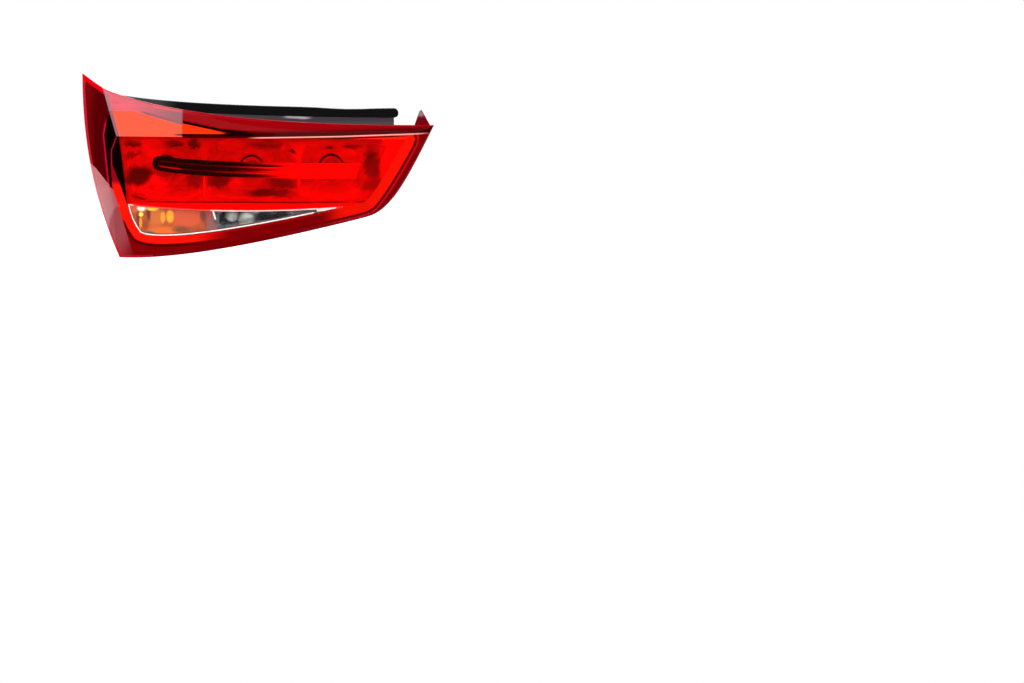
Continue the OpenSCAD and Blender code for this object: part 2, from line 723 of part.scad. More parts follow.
ground_paths = [
    concat(
        [
            [reverse_xz.x - 8, reverse_xz.y - 3],
            [reverse_xz.x - 20, turn_xz.y - 14],
            [bus_x, turn_xz.y - 14],
            [bus_x, bus_z],
            [bus_x2, bus_z],
            [bus_x2, fog_xz.y - 10]
        ],
        [[mouth_at.x + 23, mouth_at.y + 2], [mouth_at.x + 23, mouth_at.y - 12]],
        down_to(5, mouth_at.y - 12)
    ),
    [[bus_x, turn_xz.y], turn_xz - [7, 0]],
    [[stop_xz.x, bus_z], stop_xz + [0, 8]],
    [[tail_xz.x, bus_z], tail_xz + [0, 8]],
    [[fog_xz.x, bus_z], fog_xz + [0, 8]]
];

// Places of the fixings on the back, in width and height
stud_outer = [48, lamp_h - 60];
stud_upper = [lamp_w - 66, tip_z - 32];
stud_lower = [fog_xz.x + 38, heel_z + 34];
stud_places = [stud_outer, stud_upper, stud_lower];
pin_at = [toe_x + 8, 46];
rear_top = [for (i = [0:long_n]) [rear[outer_n + i].x, rear[outer_n + i].z]];
function below_top(x, drop) = [x, lookup(x, rear_top) - drop];
stop_places = [mix(pin_at, stud_outer, 0.6), below_top(divider_2_x - 18, 10)];
vent_places = [mix(pin_at, stop_places[0], 0.5) + [5, 0], below_top(divider_2_x + 44, 10)];
// Radii of the nipples under the breather caps, of the rubber stops' pegs and of the bezel's legs
nipple_r = 4;
peg_r = 3;
leg_r = 2.5;
leg_places = [
    [divider_1_x, low_z(divider_1_x) - chamber_rim - 2.5],
    [divider_2_x, low_z(divider_2_x) - chamber_rim - 1.5],
    [divider_1_x, high_z(divider_1_x) + 3.6],
    [divider_2_x, high_z(divider_2_x) + 3.6]
];

// The lamp is drawn from its outer edge, its foremost point and its toe, and set down with its origin on the
// seat of the upper stud
module placed() translate([-stud_upper.x, -back_y - boss_h, -stud_upper.y]) children();

// An outline in width and height, drawn from depth y backwards by d
module slab(y, d) translate([0, y + d, 0]) rotate([90, 0, 0]) linear_extrude(d, convexity = 10) children();
module rod(p, r, y, d) translate([p.x, y, p.y]) rotate([-90, 0, 0]) cylinder(r = r, h = d, $fn = round_n);
// A profile of radius and depth, turned round the axis through p
module turned_part(p)
    translate([p.x, 0, p.y]) rotate([-90, 0, 0]) rotate_extrude($fn = round_n) children();

module fin() {
    foot = [lamp_w - 13, tip_z - 1.5];
    slab(tip_y + 3, 3.5) polygon([
        [foot.x - fin_w / 2, foot.y - 1],
        [foot.x - fin_w * 0.17, foot.y + fin_h],
        [foot.x - fin_w * 0.05, foot.y + fin_h + 1],
        [foot.x + fin_w / 2, foot.y - 1]
    ]);
}

module lens_red() {
    color([0.8, 0.02, 0.02, 0.85]) placed() {
        union() {
            polyhedron(
                concat(flat(skin_out), red_inside, flat(skin_in), moved(red_inside, lens_t)),
                concat(
                    red_faces(0),
                    turned(red_faces(red_count)),
                    band(red_count, 0, loop_n),
                    wall(opening_at(0), opening_at(red_count))
                ),
                convexity = 10
            );
            fin();
        }
    }
}

module lens_clear() {
    front = on_face([for (j = [0:low_n], i = [0:clear_n]) clear_point(i, j)]);
    n = len(front);
    w = clear_n + 1;
    sheet = [
        for (j = [0:low_n - 1], i = [0:clear_n - 1])
            let (a = j * w + i, b = a + w)
            each [[a, b, b + 1], [a, b + 1, a + 1]]
    ];
    border = concat(
        [for (j = [0:low_n - 1]) j * w],
        [for (i = [0:clear_n - 1]) low_n * w + i],
        [for (j = [low_n:-1:1]) j * w + clear_n],
        [for (i = [clear_n:-1:1]) i]
    );
    back_border = [for (k = border) k + n];
    color([0.9, 0.9, 0.92, 0.6]) placed() polyhedron(
        concat(front, moved(front, lens_t)),
        concat(sheet, turned([for (f = sheet) [for (k = f) k + n]]), turned(wall(border, back_border))),
        convexity = 6
    );
}

module turn_filter() {
    loop = grown(wedge_loop(filter_n), -trim_w - 1.4);
    color([1, 0.5, 0.05, 0.8]) placed() capped_solid(
        [on_plane(loop, -seat_gap), on_plane(loop, -seat_gap - filter_t)],
        low_n, filter_n, low_n
    );
}

module lower_trim() {
    loop = grown(wedge_loop(trim_n), -trim_inset);
    inner = grown(loop, -trim_w);
    color([0.93, 0.93, 0.95]) placed() {
        ring_solid([
            on_plane(loop, -seat_gap),
            on_face(loop, lens_t + seat_gap),
            on_face(inner, lens_t + seat_gap),
            on_plane(inner, -seat_gap)
        ]);
        capped_solid(
            [on_plane(trim_tail, -seat_gap - 0.2), on_face(trim_tail, lens_t + seat_gap + 0.1)],
            1, len(tail_columns) - 1, 1
        );
    }
}

module bezel() {
    front = [lamp_w - pane_tip_in, bezel_y, 0];
    function laid(loop) = [for (p = loop) [(p.x - front.x) / cos(bezel_tilt), p.z]];
    color([0.75, 0.1, 0.08]) placed() {
        translate(front) rotate([0, 0, -bezel_tilt]) slab(0, bezel_t) difference() {
            polygon(laid(grown(pane_loop, 1.5)));
            for (q = [stop_room, tail_room, fog_room, turn_room, reverse_room]) polygon(laid(room_loop(q)));
        }
        for (p = leg_places) rod(p, leg_r, plane_y(p.x) + 0.5, back_y - wall_t - plane_y(p.x) - 0.5);
    }
}

module blade() {
    groove = grown(wing_loop, -line_in);
    island = grown(wing_loop, -line_in - line_w - slide_gap);
    color([0.2, 0.02, 0.02]) placed() capped_solid(
        [
            on_plane(wing_loop, 0),
            on_plane(wing_loop, 1.8 - blade_h),
            on_plane(grown(wing_loop, -1.8), -blade_h),
            on_plane(groove, -blade_h),
            on_plane(groove, -blade_h + 2),
            on_plane(island, -blade_h + 2),
            on_plane(island, -blade_h + 0.4)
        ],
        wing_end_n, wing_long_n, wing_inner_n
    );
}

module blade_light() {
    outer = grown(wing_loop, -line_in - slide_gap / 2);
    inner = grown(wing_loop, -line_in - slide_gap / 2 - line_w);
    color([1, 0.3, 0.3]) placed() ring_solid([
        on_plane(outer, -blade_h + 2),
        on_plane(outer, -blade_h - 0.4),
        on_plane(inner, -blade_h - 0.4),
        on_plane(inner, -blade_h + 2)
    ]);
}

module reflector_stop()
    color([0.8, 0.8, 0.82]) placed() bowl(stop_room, stop_at, neck_r - 0.3, neck_r, neck_y);
module reflector_tail()
    color([0.8, 0.8, 0.82]) placed() bowl(tail_room, tail_at, neck_r - 0.3, neck_r, neck_y);
module reflector_fog()
    color([0.8, 0.8, 0.82]) placed() bowl(fog_room, fog_at, neck_r - 0.3, neck_r, neck_y);
module reflector_turn()
    color([0.8, 0.8, 0.82]) placed() bowl(turn_room, turn_at, small_hole_r, small_bore_r + 0.8, neck_y);
module reflector_reverse()
    color([0.8, 0.8, 0.82]) placed() bowl(reverse_room, reverse_at, small_hole_r, small_bore_r + 0.8, neck_y);

// Glass of a bayonet bulb: a ball on a neck, hollow and open towards the cap
module ball_glass(p) {
    centre = bulb_front_y + bulb_r;
    neck_in = cap_r - 1;
    foot = neck_y + 4;
    function shell(r, neck) = [
        for (a = [0:12:132]) [r * sin(a), centre - r * cos(a)],
        [neck, centre + bulb_r + 2],
        [neck, foot]
    ];
    turned_part([p.x, p.z])
        polygon(concat(shell(bulb_r, neck_in), reversed(shell(bulb_r - glass_t, neck_in - glass_t))));
}
module bayonet_cap(p) {
    start = neck_y + 4 + seat_gap;
    rod([p.x, p.z], cap_r, start, 17);
    rod([p.x, p.z], 3, start + 17, 1.5);
}
// Glass of a wedge bulb: a tube with a round end
module tube_glass(p) {
    centre = wedge_front_y + wedge_r;
    foot = neck_y + 4;
    function shell(r) = [for (a = [0:15:90]) [r * sin(a), centre - r * cos(a)], [r, foot]];
    turned_part([p.x, p.z]) polygon(concat(shell(wedge_r), reversed(shell(wedge_r - glass_t))));
}
module wedge_base(p) {
    start = neck_y + 4 + seat_gap;
    rod([p.x, p.z], wedge_r, start, 5);
    translate([p.x - 6, start + 4, p.z - 2]) cube([12, 13, 4]);
}
module bulb_stop_glass() color([0.9, 0.9, 0.9, 0.5]) placed() ball_glass(stop_at);
module bulb_stop_cap() color([0.75, 0.7, 0.55]) placed() bayonet_cap(stop_at);
module bulb_tail_glass() color([0.9, 0.9, 0.9, 0.5]) placed() ball_glass(tail_at);
module bulb_tail_cap() color([0.75, 0.7, 0.55]) placed() bayonet_cap(tail_at);
module bulb_fog_glass() color([0.9, 0.9, 0.9, 0.5]) placed() ball_glass(fog_at);
module bulb_fog_cap() color([0.75, 0.7, 0.55]) placed() bayonet_cap(fog_at);
module bulb_turn_glass() color([1, 0.6, 0.1, 0.7]) placed() tube_glass(turn_at);
module bulb_turn_base() color([0.9, 0.9, 0.85]) placed() wedge_base(turn_at);
module bulb_reverse_glass() color([0.9, 0.9, 0.9, 0.5]) placed() tube_glass(reverse_at);
module bulb_reverse_base() color([0.9, 0.9, 0.85]) placed() wedge_base(reverse_at);

module housing() {
    color([0.16, 0.15, 0.17]) placed() difference() {
        union() {
            capped_solid(tub, outer_n, long_n, inner_n);
            slab(waist_y, waist_d) polygon(ledge);
            slab(seal_y + (seal_t - rib_t) / 2, rib_t) polygon(strip_of(top_edge, -1, rib_h));
            for (p = stud_places) rod(p, boss_r, back_y - 1, boss_h + 1);
            rod(pin_at, pin_r, back_y - 1, pin_l + 1);
            for (p = ears) rod(p, pad_r, back_y - 1, gasket_t + 1);
            for (p = vent_places) rod(p, nipple_r, back_y - 1, vent_h + 0.5);
        }
        for (p = [stop_xz, tail_xz, fog_xz]) rod(p, bore_r, back_y - wall_t - 1, wall_t + 2);
        for (p = [turn_xz, reverse_xz]) rod(p, small_bore_r, back_y - wall_t - 1, wall_t + 2);
        for (p = vent_places) rod(p, nipple_r - 2, back_y - wall_t - 1, wall_t + 8);
        for (p = ears) rod(p, screw_r, back_y - wall_t + 1, gasket_t + wall_t);
        for (p = stud_places) rod(p, shank_r + seat_gap, back_y - wall_t + 1, boss_h + wall_t);
        for (p = stop_places) rod(p, peg_r, back_y - wall_t - 1, wall_t + 2);
    }
}

module body_seal() {
    n = len(top_edge);
    last = top_edge[n - 1];
    lip = (seal_h - seat_gap) / 2;
    slot_line = concat([top_edge[0] - [3, 0, -1]], top_edge, [last + [slide_gap, 0, 0]]);
    color([0.03, 0.03, 0.03]) placed() difference() {
        union() {
            slab(seal_y, seal_t) polygon(concat(
                [for (p = top_edge) [p.x, p.z + seat_gap]],
                [for (i = [n - 1:-1:0]) [top_edge[i].x, top_edge[i].z + seal_top(i)]]
            ));
            rod([last.x, last.z + seat_gap + lip], lip, seal_y, seal_t);
        }
        slab(seal_y + (seal_t - rib_t) / 2 - slide_gap, rib_t + 2 * slide_gap)
            polygon(strip_of(slot_line, -1, rib_h + slide_gap));
    }
}

module collar_outline(w) square([mouth_w + 2 * w, mouth_h + 2 * w], center = true);

module holder(p, r, hole_r) {
    front = neck_y + 6;
    difference() {
        rod(p, r, front, plate_y + 1 - front);
        rod(p, hole_r, front - 1, plate_y - front);
    }
}

module bulb_carrier() {
    all_paths = concat(ground_paths, [turn_path, reverse_path, stop_path, tail_path, fog_path]);
    color([0.85, 0.84, 0.8]) placed() {
        difference() {
            union() {
                slab(plate_y, plate_t) polygon(carrier_edge);
                for (p = ears) rod(p, ear_r, plate_y, plate_t);
            }
            for (p = ears) rod(p, screw_r + 0.3, plate_y - 1, plate_t + 2);
        }
        for (p = [stop_xz, tail_xz, fog_xz]) holder(p, holder_r, cap_r + slide_gap);
        for (p = [turn_xz, reverse_xz]) holder(p, small_holder_r, wedge_r + slide_gap);
        difference() {
            slab(rear_face_y - 0.5, collar_d + 0.5) translate(mouth_at) difference() {
                collar_outline(collar_t);
                collar_outline(0);
            }
            slab(rear_face_y, strip_t + slide_gap)
                for (path = all_paths) polygon(strip(path, strip_w + 2 * slide_gap));
        }
    }
}

module carrier_gasket() {
    inset = 1.5;
    loop = [for (p = reversed(carrier_edge)) [p.x, 0, p.y]];
    squash = seat_gap / 2;
    color([0.08, 0.08, 0.08]) placed() slab(back_y + squash, gasket_t - 2 * squash) difference() {
        polygon(flat_xz(grown(loop, inset)));
        polygon(flat_xz(grown(loop, inset + gasket_w)));
    }
}

module carrier_screws() {
    color([0.7, 0.7, 0.72]) placed() for (p = ears) difference() {
        union() {
            rod(p, screw_r - 0.1, back_y - wall_t + 1.2, gasket_t + wall_t + plate_t - 1);
            rod(p, screw_r * 2, rear_face_y + seat_gap, 2.4);
        }
        for (turn = [0, 90]) translate([p.x, rear_face_y + 2.2, p.y]) rotate([0, turn, 0])
            cube([4.6, 1.8, 0.9], center = true);
    }
}

// A stamped conductor: strips flat on the carrier, and a blade in the connector
module conductor(paths, tab, k) {
    color([0.8, 0.62, 0.3]) placed() {
        slab(rear_face_y, strip_t) for (path = paths) polygon(strip(path, strip_w));
        if (tab) rod(tab, 5, rear_face_y, strip_t);
        translate([blade_x_at[k] - 0.75, rear_face_y, mouth_at.y - 0.4]) cube([1.5, tab_l, 0.8]);
    }
}
module contact_ground() conductor(ground_paths, false, 5);
module contact_stop() conductor([stop_path], stop_xz, 2);
module contact_tail() conductor([tail_path], tail_xz, 3);
module contact_fog() conductor([fog_path], fog_xz, 4);
module contact_turn() conductor([turn_path], turn_xz, 0);
module contact_reverse() conductor([reverse_path], reverse_xz, 1);

module studs() {
    root = back_y - wall_t + 1.2;
    seat = back_y + boss_h;
    color([0.75, 0.75, 0.77]) placed() for (p = stud_places) {
        rod(p, shank_r, root, seat - root);
        rod(p, stud_r, seat - 1, stud_l);
        translate([p.x, seat + stud_l - 1, p.y]) rotate([-90, 0, 0])
            cylinder(r1 = stud_r, r2 = stud_r - 1, h = 1, $fn = round_n);
    }
}

module stud_gaskets() {
    color([0.1, 0.1, 0.1]) placed() for (p = stud_places) difference() {
        rod(p, boss_r + slide_gap + foam_w, back_y + seat_gap, boss_h + foam_up);
        rod(p, boss_r + slide_gap, back_y, boss_h + foam_up + 1);
    }
}

module vent_caps() {
    color([0.1, 0.1, 0.1]) placed() for (p = vent_places) difference() {
        rod(p, vent_r, back_y + 2, vent_h);
        rod(p, nipple_r + seat_gap, back_y + 1, vent_h - 1);
    }
}

module bump_stops() {
    color([0.1, 0.1, 0.1]) placed() for (p = stop_places) {
        rod(p, bump_r, back_y + seat_gap, bump_h);
        rod(p, peg_r - seat_gap, back_y - wall_t, wall_t + 1);
    }
}

lens_red();
lens_clear();
turn_filter();
lower_trim();
bezel();
blade();
blade_light();
reflector_stop();
reflector_tail();
reflector_fog();
reflector_turn();
reflector_reverse();
bulb_stop_glass();
bulb_stop_cap();
bulb_tail_glass();
bulb_tail_cap();
bulb_fog_glass();
bulb_fog_cap();
bulb_turn_glass();
bulb_turn_base();
bulb_reverse_glass();
bulb_reverse_base();
housing();
body_seal();
bulb_carrier();
carrier_gasket();
carrier_screws();
contact_ground();
contact_stop();
contact_tail();
contact_fog();
contact_turn();
contact_reverse();
studs();
stud_gaskets();
vent_caps();
bump_stops();
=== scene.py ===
"""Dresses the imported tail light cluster: lens skins, finishes, studio and camera."""
import math

import bpy
from bpy.props import FloatProperty, FloatVectorProperty, IntProperty, PointerProperty
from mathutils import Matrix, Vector
from mathutils.bvhtree import BVHTree
from mathutils.geometry import intersect_point_line


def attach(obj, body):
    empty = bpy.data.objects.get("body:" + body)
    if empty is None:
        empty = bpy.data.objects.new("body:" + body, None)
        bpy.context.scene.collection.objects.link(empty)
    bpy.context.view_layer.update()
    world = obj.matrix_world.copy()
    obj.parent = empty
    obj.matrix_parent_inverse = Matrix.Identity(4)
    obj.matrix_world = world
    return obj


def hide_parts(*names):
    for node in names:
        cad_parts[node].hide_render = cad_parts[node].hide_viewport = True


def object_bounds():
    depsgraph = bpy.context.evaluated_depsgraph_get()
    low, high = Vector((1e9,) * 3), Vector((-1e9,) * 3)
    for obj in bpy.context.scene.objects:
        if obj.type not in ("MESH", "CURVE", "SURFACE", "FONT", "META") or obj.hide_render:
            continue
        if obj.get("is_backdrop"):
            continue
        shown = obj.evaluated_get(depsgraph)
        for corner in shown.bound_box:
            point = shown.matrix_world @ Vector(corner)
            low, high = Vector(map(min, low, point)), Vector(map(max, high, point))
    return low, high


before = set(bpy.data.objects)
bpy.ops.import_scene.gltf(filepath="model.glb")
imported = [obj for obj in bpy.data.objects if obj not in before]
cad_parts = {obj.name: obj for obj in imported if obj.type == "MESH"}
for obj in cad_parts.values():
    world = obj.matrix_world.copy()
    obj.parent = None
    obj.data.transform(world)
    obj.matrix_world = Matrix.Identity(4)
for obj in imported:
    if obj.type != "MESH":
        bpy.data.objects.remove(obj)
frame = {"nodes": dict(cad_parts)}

bl_info = {
    "name": "Tail Light Cluster",
    "version": (1, 0, 0),
    "blender": (4, 5, 0),
    "location": "View3D > Sidebar > Tail Light",
    "description": "Builds the looks of a car's tail light cluster over its engineering model",
    "category": "Object",
}

MM = 0.001
# Corner of the lamp as it was drawn, measured from the upper stud's seat
CORNER = Vector((-334, -88, -121)) * MM
LENS_T = 3
RING_STEP = 2.2
# Parts of the red lens
FRAME, PANE, RING = 0, 1, 2
# Crown of the pane's outer face in mm from the corner, and how it falls away along both sides
CROWN_X = 360
CROWN_Z = 100
FALL_X = 5600
FALL_Z = 3000
# How near a point is to a face that it belongs to, in mm, on the outside and on the wall behind
NEAR = 0.05
NEAR_BEHIND = 0.2
# Angles in degrees and the merging distance in metres for the skins
SHARP = 28
JOIN_FACES = 40
JOIN_SHAPES = 70
MERGE = 0.00002
# Faces whose normal has less of Y than this are the lens's sides, and what is this near in mm lies on them
SIDE_Y = 0.25
SIDE_REACH = 0.7
# Width of a wave node's band at a scale of 1
WAVE_BAND = 0.314
# Softboxes of the studio: place and size in metres
SOFTBOXES = {
    "front": ((-0.15, -1.85, 2.4), (3.2, 3.0)),
    "fill": ((-0.3, -2.95, 0.75), (2.6, 1.2)),
    "low": ((-1.1, -0.22, -0.235), (1.6, 0.18)),
    "right": ((2.6, -0.4, 1.0), (1.2, 1.2)),
    "back": ((0.2, 1.9, 2.2), (2.2, 1.4)),
}
# Floor in metres: its size, how far behind the lamp its middle is and how far below
FLOOR_SIZE = 3.2
FLOOR_BEHIND = 1.4
FLOOR_BELOW = 0.22
FLOOR_GLOW = 0.6
# Middle of the lamp, in mm from its corner and in pixels of the picture
LAMP_MIDDLE = Vector((200, 25, 104))
PICTURE_MIDDLE = (258, 167)
PICTURE_SIZE = (1024, 683)
SENSOR_MM = 36


def linear(code):
    """Linear colour of an sRGB hex value."""
    parts = [int(code[i:i + 2], 16) / 255 for i in (1, 3, 5)]
    return [c / 12.92 if c < 0.04045 else ((c + 0.055) / 1.055) ** 2.4 for c in parts] + [1]


def chosen(name):
    """Colour that is set in the sidebar, with its alpha."""
    return [*getattr(bpy.context.scene.taillight_colours, name), 1]


def chosen_size(name):
    """Size that is set in the sidebar."""
    return getattr(bpy.context.scene.taillight_sizes, name)


def add(tree, kind, inputs=(), stops=(), **settings):
    """Adds a shader node with its settings and its stops of place and hex colour, and sets or links
    its inputs, given in order or by name. A node that is linked stands for its first output."""
    node = tree.nodes.new("ShaderNode" + kind)
    for name, value in settings.items():
        setattr(node, name, value)
    for _ in stops[2:]:
        node.color_ramp.elements.new(0.5)
    for i, (place, code) in enumerate(stops):
        node.color_ramp.elements[i].position = place
        node.color_ramp.elements[i].color = linear(code)
    for name, value in inputs.items() if isinstance(inputs, dict) else enumerate(inputs):
        if isinstance(value, bpy.types.Node):
            value = value.outputs[0]
        if isinstance(value, bpy.types.NodeSocket):
            tree.links.new(value, node.inputs[name])
        else:
            node.inputs[name].default_value = value
    return node


def new_material(name):
    """An empty material and its tree."""
    mat = bpy.data.materials.new(name)
    mat.use_nodes = True
    mat.node_tree.nodes.clear()
    return mat, mat.node_tree


def finished(mat, shader):
    """Gives a material its shader."""
    add(mat.node_tree, "OutputMaterial", {"Surface": shader})
    return mat


def lamp_place(tree):
    """Place on the lamp in millimetres from its corner."""
    place = add(tree, "TexCoord").outputs["Object"]
    moved = add(tree, "VectorMath", [place, CORNER], operation="SUBTRACT")
    return add(tree, "VectorMath", {0: moved, "Scale": 1 / MM}, operation="SCALE")


def parted(tree, vector):
    """A vector's X, Y and Z."""
    return add(tree, "SeparateXYZ", [vector]).outputs


def facing_back(tree):
    """How far a surface faces the lamp's back, from -1 at the front to 1."""
    return parted(tree, add(tree, "NewGeometry").outputs["Normal"])["Y"]


def share(tree, value, low, high):
    """How far a value has gone from low to high, smoothly, from 0 to 1."""
    ends = {"Value": value, "From Min": low, "From Max": high}
    return add(tree, "MapRange", ends, interpolation_type="SMOOTHSTEP")


def blended(tree, factor, a, b):
    """Mix of two colours, given as hex values or sockets."""
    a, b = (linear(c) if isinstance(c, str) else c for c in (a, b))
    return add(tree, "Mix", {0: factor, 6: a, 7: b}, data_type="RGBA").outputs[2]


def mottled(tree, place, size_mm, a, b, detail=1):
    """A colour that wanders between two, in clouds of the given size."""
    cloud = add(tree, "TexNoise", {"Vector": place, "Scale": 1 / size_mm, "Detail": detail})
    return blended(tree, cloud, a, b)


def uneven(tree, place, size_mm, depth_mm, detail=1):
    """Relief of a moulded surface that isn't quite even."""
    height = add(tree, "TexNoise", {"Vector": place, "Scale": 1 / size_mm, "Detail": detail})
    return add(tree, "Bump", {"Height": height, "Distance": depth_mm * MM})


def see_through(mat, glass, tint):
    """Gives a material its glass, which lets the lamps' light through, tinted by a hex colour."""
    tree = mat.node_tree
    shadow = add(tree, "LightPath").outputs["Is Shadow Ray"]
    film = add(tree, "BsdfTransparent", {"Color": linear(tint)})
    return finished(mat, add(tree, "MixShader", [shadow, glass, film]))


def patch(tree, place, x, z, reach_x, reach_z, soft=0.5):
    """How far a place lies within an ellipse round x and z, from 0 to 1, with a soft edge."""
    local = add(
        tree, "Mapping",
        {"Vector": place, "Location": (x, 0, z), "Scale": (reach_x, 1e6, reach_z)}, vector_type="TEXTURE",
    )
    off = add(tree, "VectorMath", [local], operation="LENGTH").outputs["Value"]
    return share(tree, off, 1 + soft, 1 - soft)


def layered(tree, colour, *layers):
    """A colour with others laid over it in order, each as its share and its colour."""
    for covered, code in layers:
        colour = blended(tree, covered, colour, code)
    return colour


def patched(tree, place, colour, rows):
    """A colour with soft patches over it, each as x, z, reach along both, softness and hex colour."""
    for x, z, reach_x, reach_z, soft, code in rows:
        colour = blended(tree, patch(tree, place, x, z, reach_x, reach_z, soft), colour, code)
    return colour


def bent(tree, value, start, height, slope_before, slope_after):
    """Height of a line over a value, with a slope on either side of its start."""
    off = add(tree, "Math", [value, start], operation="SUBTRACT")
    for side, slope in (("MINIMUM", slope_before), ("MAXIMUM", slope_after)):
        part = add(tree, "Math", [off, 0], operation=side)
        height = add(tree, "Math", [part, slope, height], operation="MULTIPLY_ADD")
    return height


def along(tree, at, x, z, slope_out, slope_in):
    """Height above a line through x and z that is bent there."""
    line = bent(tree, at["X"], x, z, slope_out, slope_in)
    return add(tree, "Math", [at["Z"], line], operation="SUBTRACT")


def across(tree, at, x, z, slope_below, slope_above):
    """Distance to the right of an upright line through x and z that is bent there."""
    line = bent(tree, at["Z"], z, x, slope_below, slope_above)
    return add(tree, "Math", [at["X"], line], operation="SUBTRACT")


def strip(tree, value, half, middle=0):
    """How far a value lies within half of a middle, from 0 to 1."""
    off = add(tree, "Math", [value, middle], operation="SUBTRACT")
    return share(tree, add(tree, "Math", [off], operation="ABSOLUTE"), half + 0.5, half - 0.5)


def product(tree, *values):
    """Product of several values, where a tuple stands for the share of its value from low to high."""
    values = [share(tree, *v) if isinstance(v, tuple) else v for v in values]
    value = values[0]
    for other in values[1:]:
        value = add(tree, "Math", [value, other], operation="MULTIPLY")
    return value


def streaks(tree, place, size_mm, stretch):
    """Noise drawn out along the lamp's width."""
    drawn = add(tree, "Mapping", {"Vector": place, "Scale": (1 / stretch, 1, 1)})
    return add(tree, "TexNoise", {"Vector": drawn, "Scale": 1 / size_mm, "Detail": 2})


# Red acrylic, injection moulded and polished: deep colour that light passes twice
def red_acrylic_pane():
    mat, tree = new_material("red_acrylic_moulded_pane")
    place = lamp_place(tree)
    tint = mottled(tree, place, 60, chosen("pane"), "#ff3420")
    glass = add(tree, "BsdfPrincipled", {
        "Base Color": tint, "Roughness": 0.0, "IOR": 1.3, "Transmission Weight": 1,
        "Normal": uneven(tree, place, 30, 0.03),
    })
    return see_through(mat, glass, "#ff4028")


def frame_areas(tree, at):
    """Lines of the red lens, as distances from them in mm, and its areas, as shares from 0 to 1."""
    x, z = at["X"], at["Z"]
    area = {
        # Crease over the pane, and the two lines of the strip beside the shoulder that is painted as lit
        "crease": along(tree, at, 294, 140.7, 0.02, 0.036),
        "strip_top": along(tree, at, 158, 146.6, -0.2, -0.077),
        "strip_floor": add(tree, "Math", [z, 141.6], operation="SUBTRACT"),
        "past_shoulder": share(tree, x, 112.5, 115.5),
        # Edge where the flank turns back, and the left side of the rib in the hollows
        "wall": across(tree, at, 25.5, 140, -0.1, 0.156),
        "rib_left": across(tree, at, 34.3, 83, -0.3, -0.05),
        # Line that parts the shoulder's painted orange reflection from its painted rose reflection
        "rose_line": along(tree, at, 58, 167, 0, -0.27),
    }
    # Left edge of the shoulder, which leans as it rises
    inwards = add(tree, "Math", [x, 81.8], operation="SUBTRACT")
    lean = area["lean"] = add(tree, "Math", [z, 0.305, inwards], operation="MULTIPLY_ADD")
    area["rose"] = share(tree, area["rose_line"], -0.8, 0.8)
    area["shoulder"] = product(tree, (x, 115.5, 112.5), (lean, -0.6, 0.6), (z, 138.6, 140))
    # Flank, with the part that runs on under the pane, and its foot, which gets a painted reflection
    flank = product(tree, (area["wall"], 0.5, -0.5), (z, 168, 163))
    tip = product(tree, (lean, 0.6, -0.6), (z, 160, 166))
    under = product(tree, (area["rib_left"], 0.5, -0.5), (z, 84, 78), (x, 78, 48))
    flank = add(tree, "Math", [flank, tip], operation="ADD")
    flank = add(tree, "Math", [1, flank], operation="MINIMUM")
    area["flank"] = add(tree, "Math", [flank, under], operation="MAXIMUM")
    area["flank_foot"] = share(tree, along(tree, at, 16, 100.6, -0.83, -1.16), 0.6, -0.6)
    # Hollows between the flank and the pane, which close round the rib below, where shade is painted black
    inside = share(tree, area["wall"], -0.5, 0.5)
    high = product(tree, inside, (lean, 0.5, -0.5), (z, 165, 161), (z, 136, 138))
    past_rib = share(tree, area["rib_left"], -0.5, 0.5)
    closing = add(tree, "Math", [share(tree, z, 79, 84), past_rib], operation="MAXIMUM")
    low = product(tree, inside, (x, 56, 52), (z, 60, 68), (z, 139.6, 138.6), closing)
    area["hollows"] = add(tree, "Math", [low, high], operation="MAXIMUM")
    return area


def frame_foot(tree, at, place):
    """Wine red of the foot and the right side, with painted bright bands, a painted highlight line and
    painted dark lines of shade that follow the pane.
    """
    x = at["X"]
    ring = add(tree, "Attribute", attribute_name="ring").outputs["Fac"]
    right = share(tree, x, 270, 300)
    left = product(tree, (x, 175, 115), (at["Z"], 50, 40))
    return layered(
        tree, blended(tree, streaks(tree, place, 7, 5), "#6a0004", chosen("frame")),
        # Painted light and shade by distance from the pane: bright bevel bands, a thin highlight, and dark
        # lines where the groove lies in shade
        (share(tree, ring, 2.4, 1.6), "#a40408"),
        (product(tree, left, strip(tree, ring, 1.4, 10.8)), "#4c0003"),
        (product(tree, left, (ring, 9.4, 8)), "#ff1408"),
        (product(tree, right, strip(tree, ring, 0.6, 12.4)), "#580004"),
        (product(tree, right, strip(tree, ring, 0.9, 15.2)), "#c40c1c"),
        (product(tree, right, (ring, 11.8, 10.8)), "#f01206"),
    )


def frame_top(tree, at, area, colour):
    """Band over the pane, painted as shade from crimson above to dark below, with a painted bright line
    under its crease, a painted black line and a painted pink highlight on its crease.
    """
    x, crease = at["X"], area["crease"]
    band = product(tree, (crease, -0.4, 0.4), (at["Z"], 134, 138))
    under = product(tree, (crease, -0.2, -0.8), (at["Z"], 130, 134))
    start = share(tree, x, 186, 205)
    line = strip(tree, crease, 0.8, -2)
    return layered(
        tree, colour,
        (band, blended(tree, share(tree, crease, 3.5, 9.5), "#3c0002", "#840208")),
        (product(tree, (x, 340, 300), under), "#b8100c"),
        (product(tree, start, (x, 384, 350), line), "#1c0001"),
        (product(tree, start, (x, 400, 380), strip(tree, crease, 0.5)), "#ffa098"),
    )


def frame_strip(tree, at, area, colour):
    """Strip beside the shoulder, painted lit at its left and dark at its right end, under a painted black
    line.
    """
    x, past, top = at["X"], area["past_shoulder"], area["strip_top"]
    wedge = product(tree, past, (top, 0.5, -0.5), (area["strip_floor"], -1, 0.5))
    return layered(
        tree, colour,
        (product(tree, wedge, (x, 205, 188)), "#240001"),
        (product(tree, wedge, (x, 166, 154)), "#ff2c0c"),
        (product(tree, past, (x, 205, 180), strip(tree, top, 1.5)), "#0c0001"),
    )


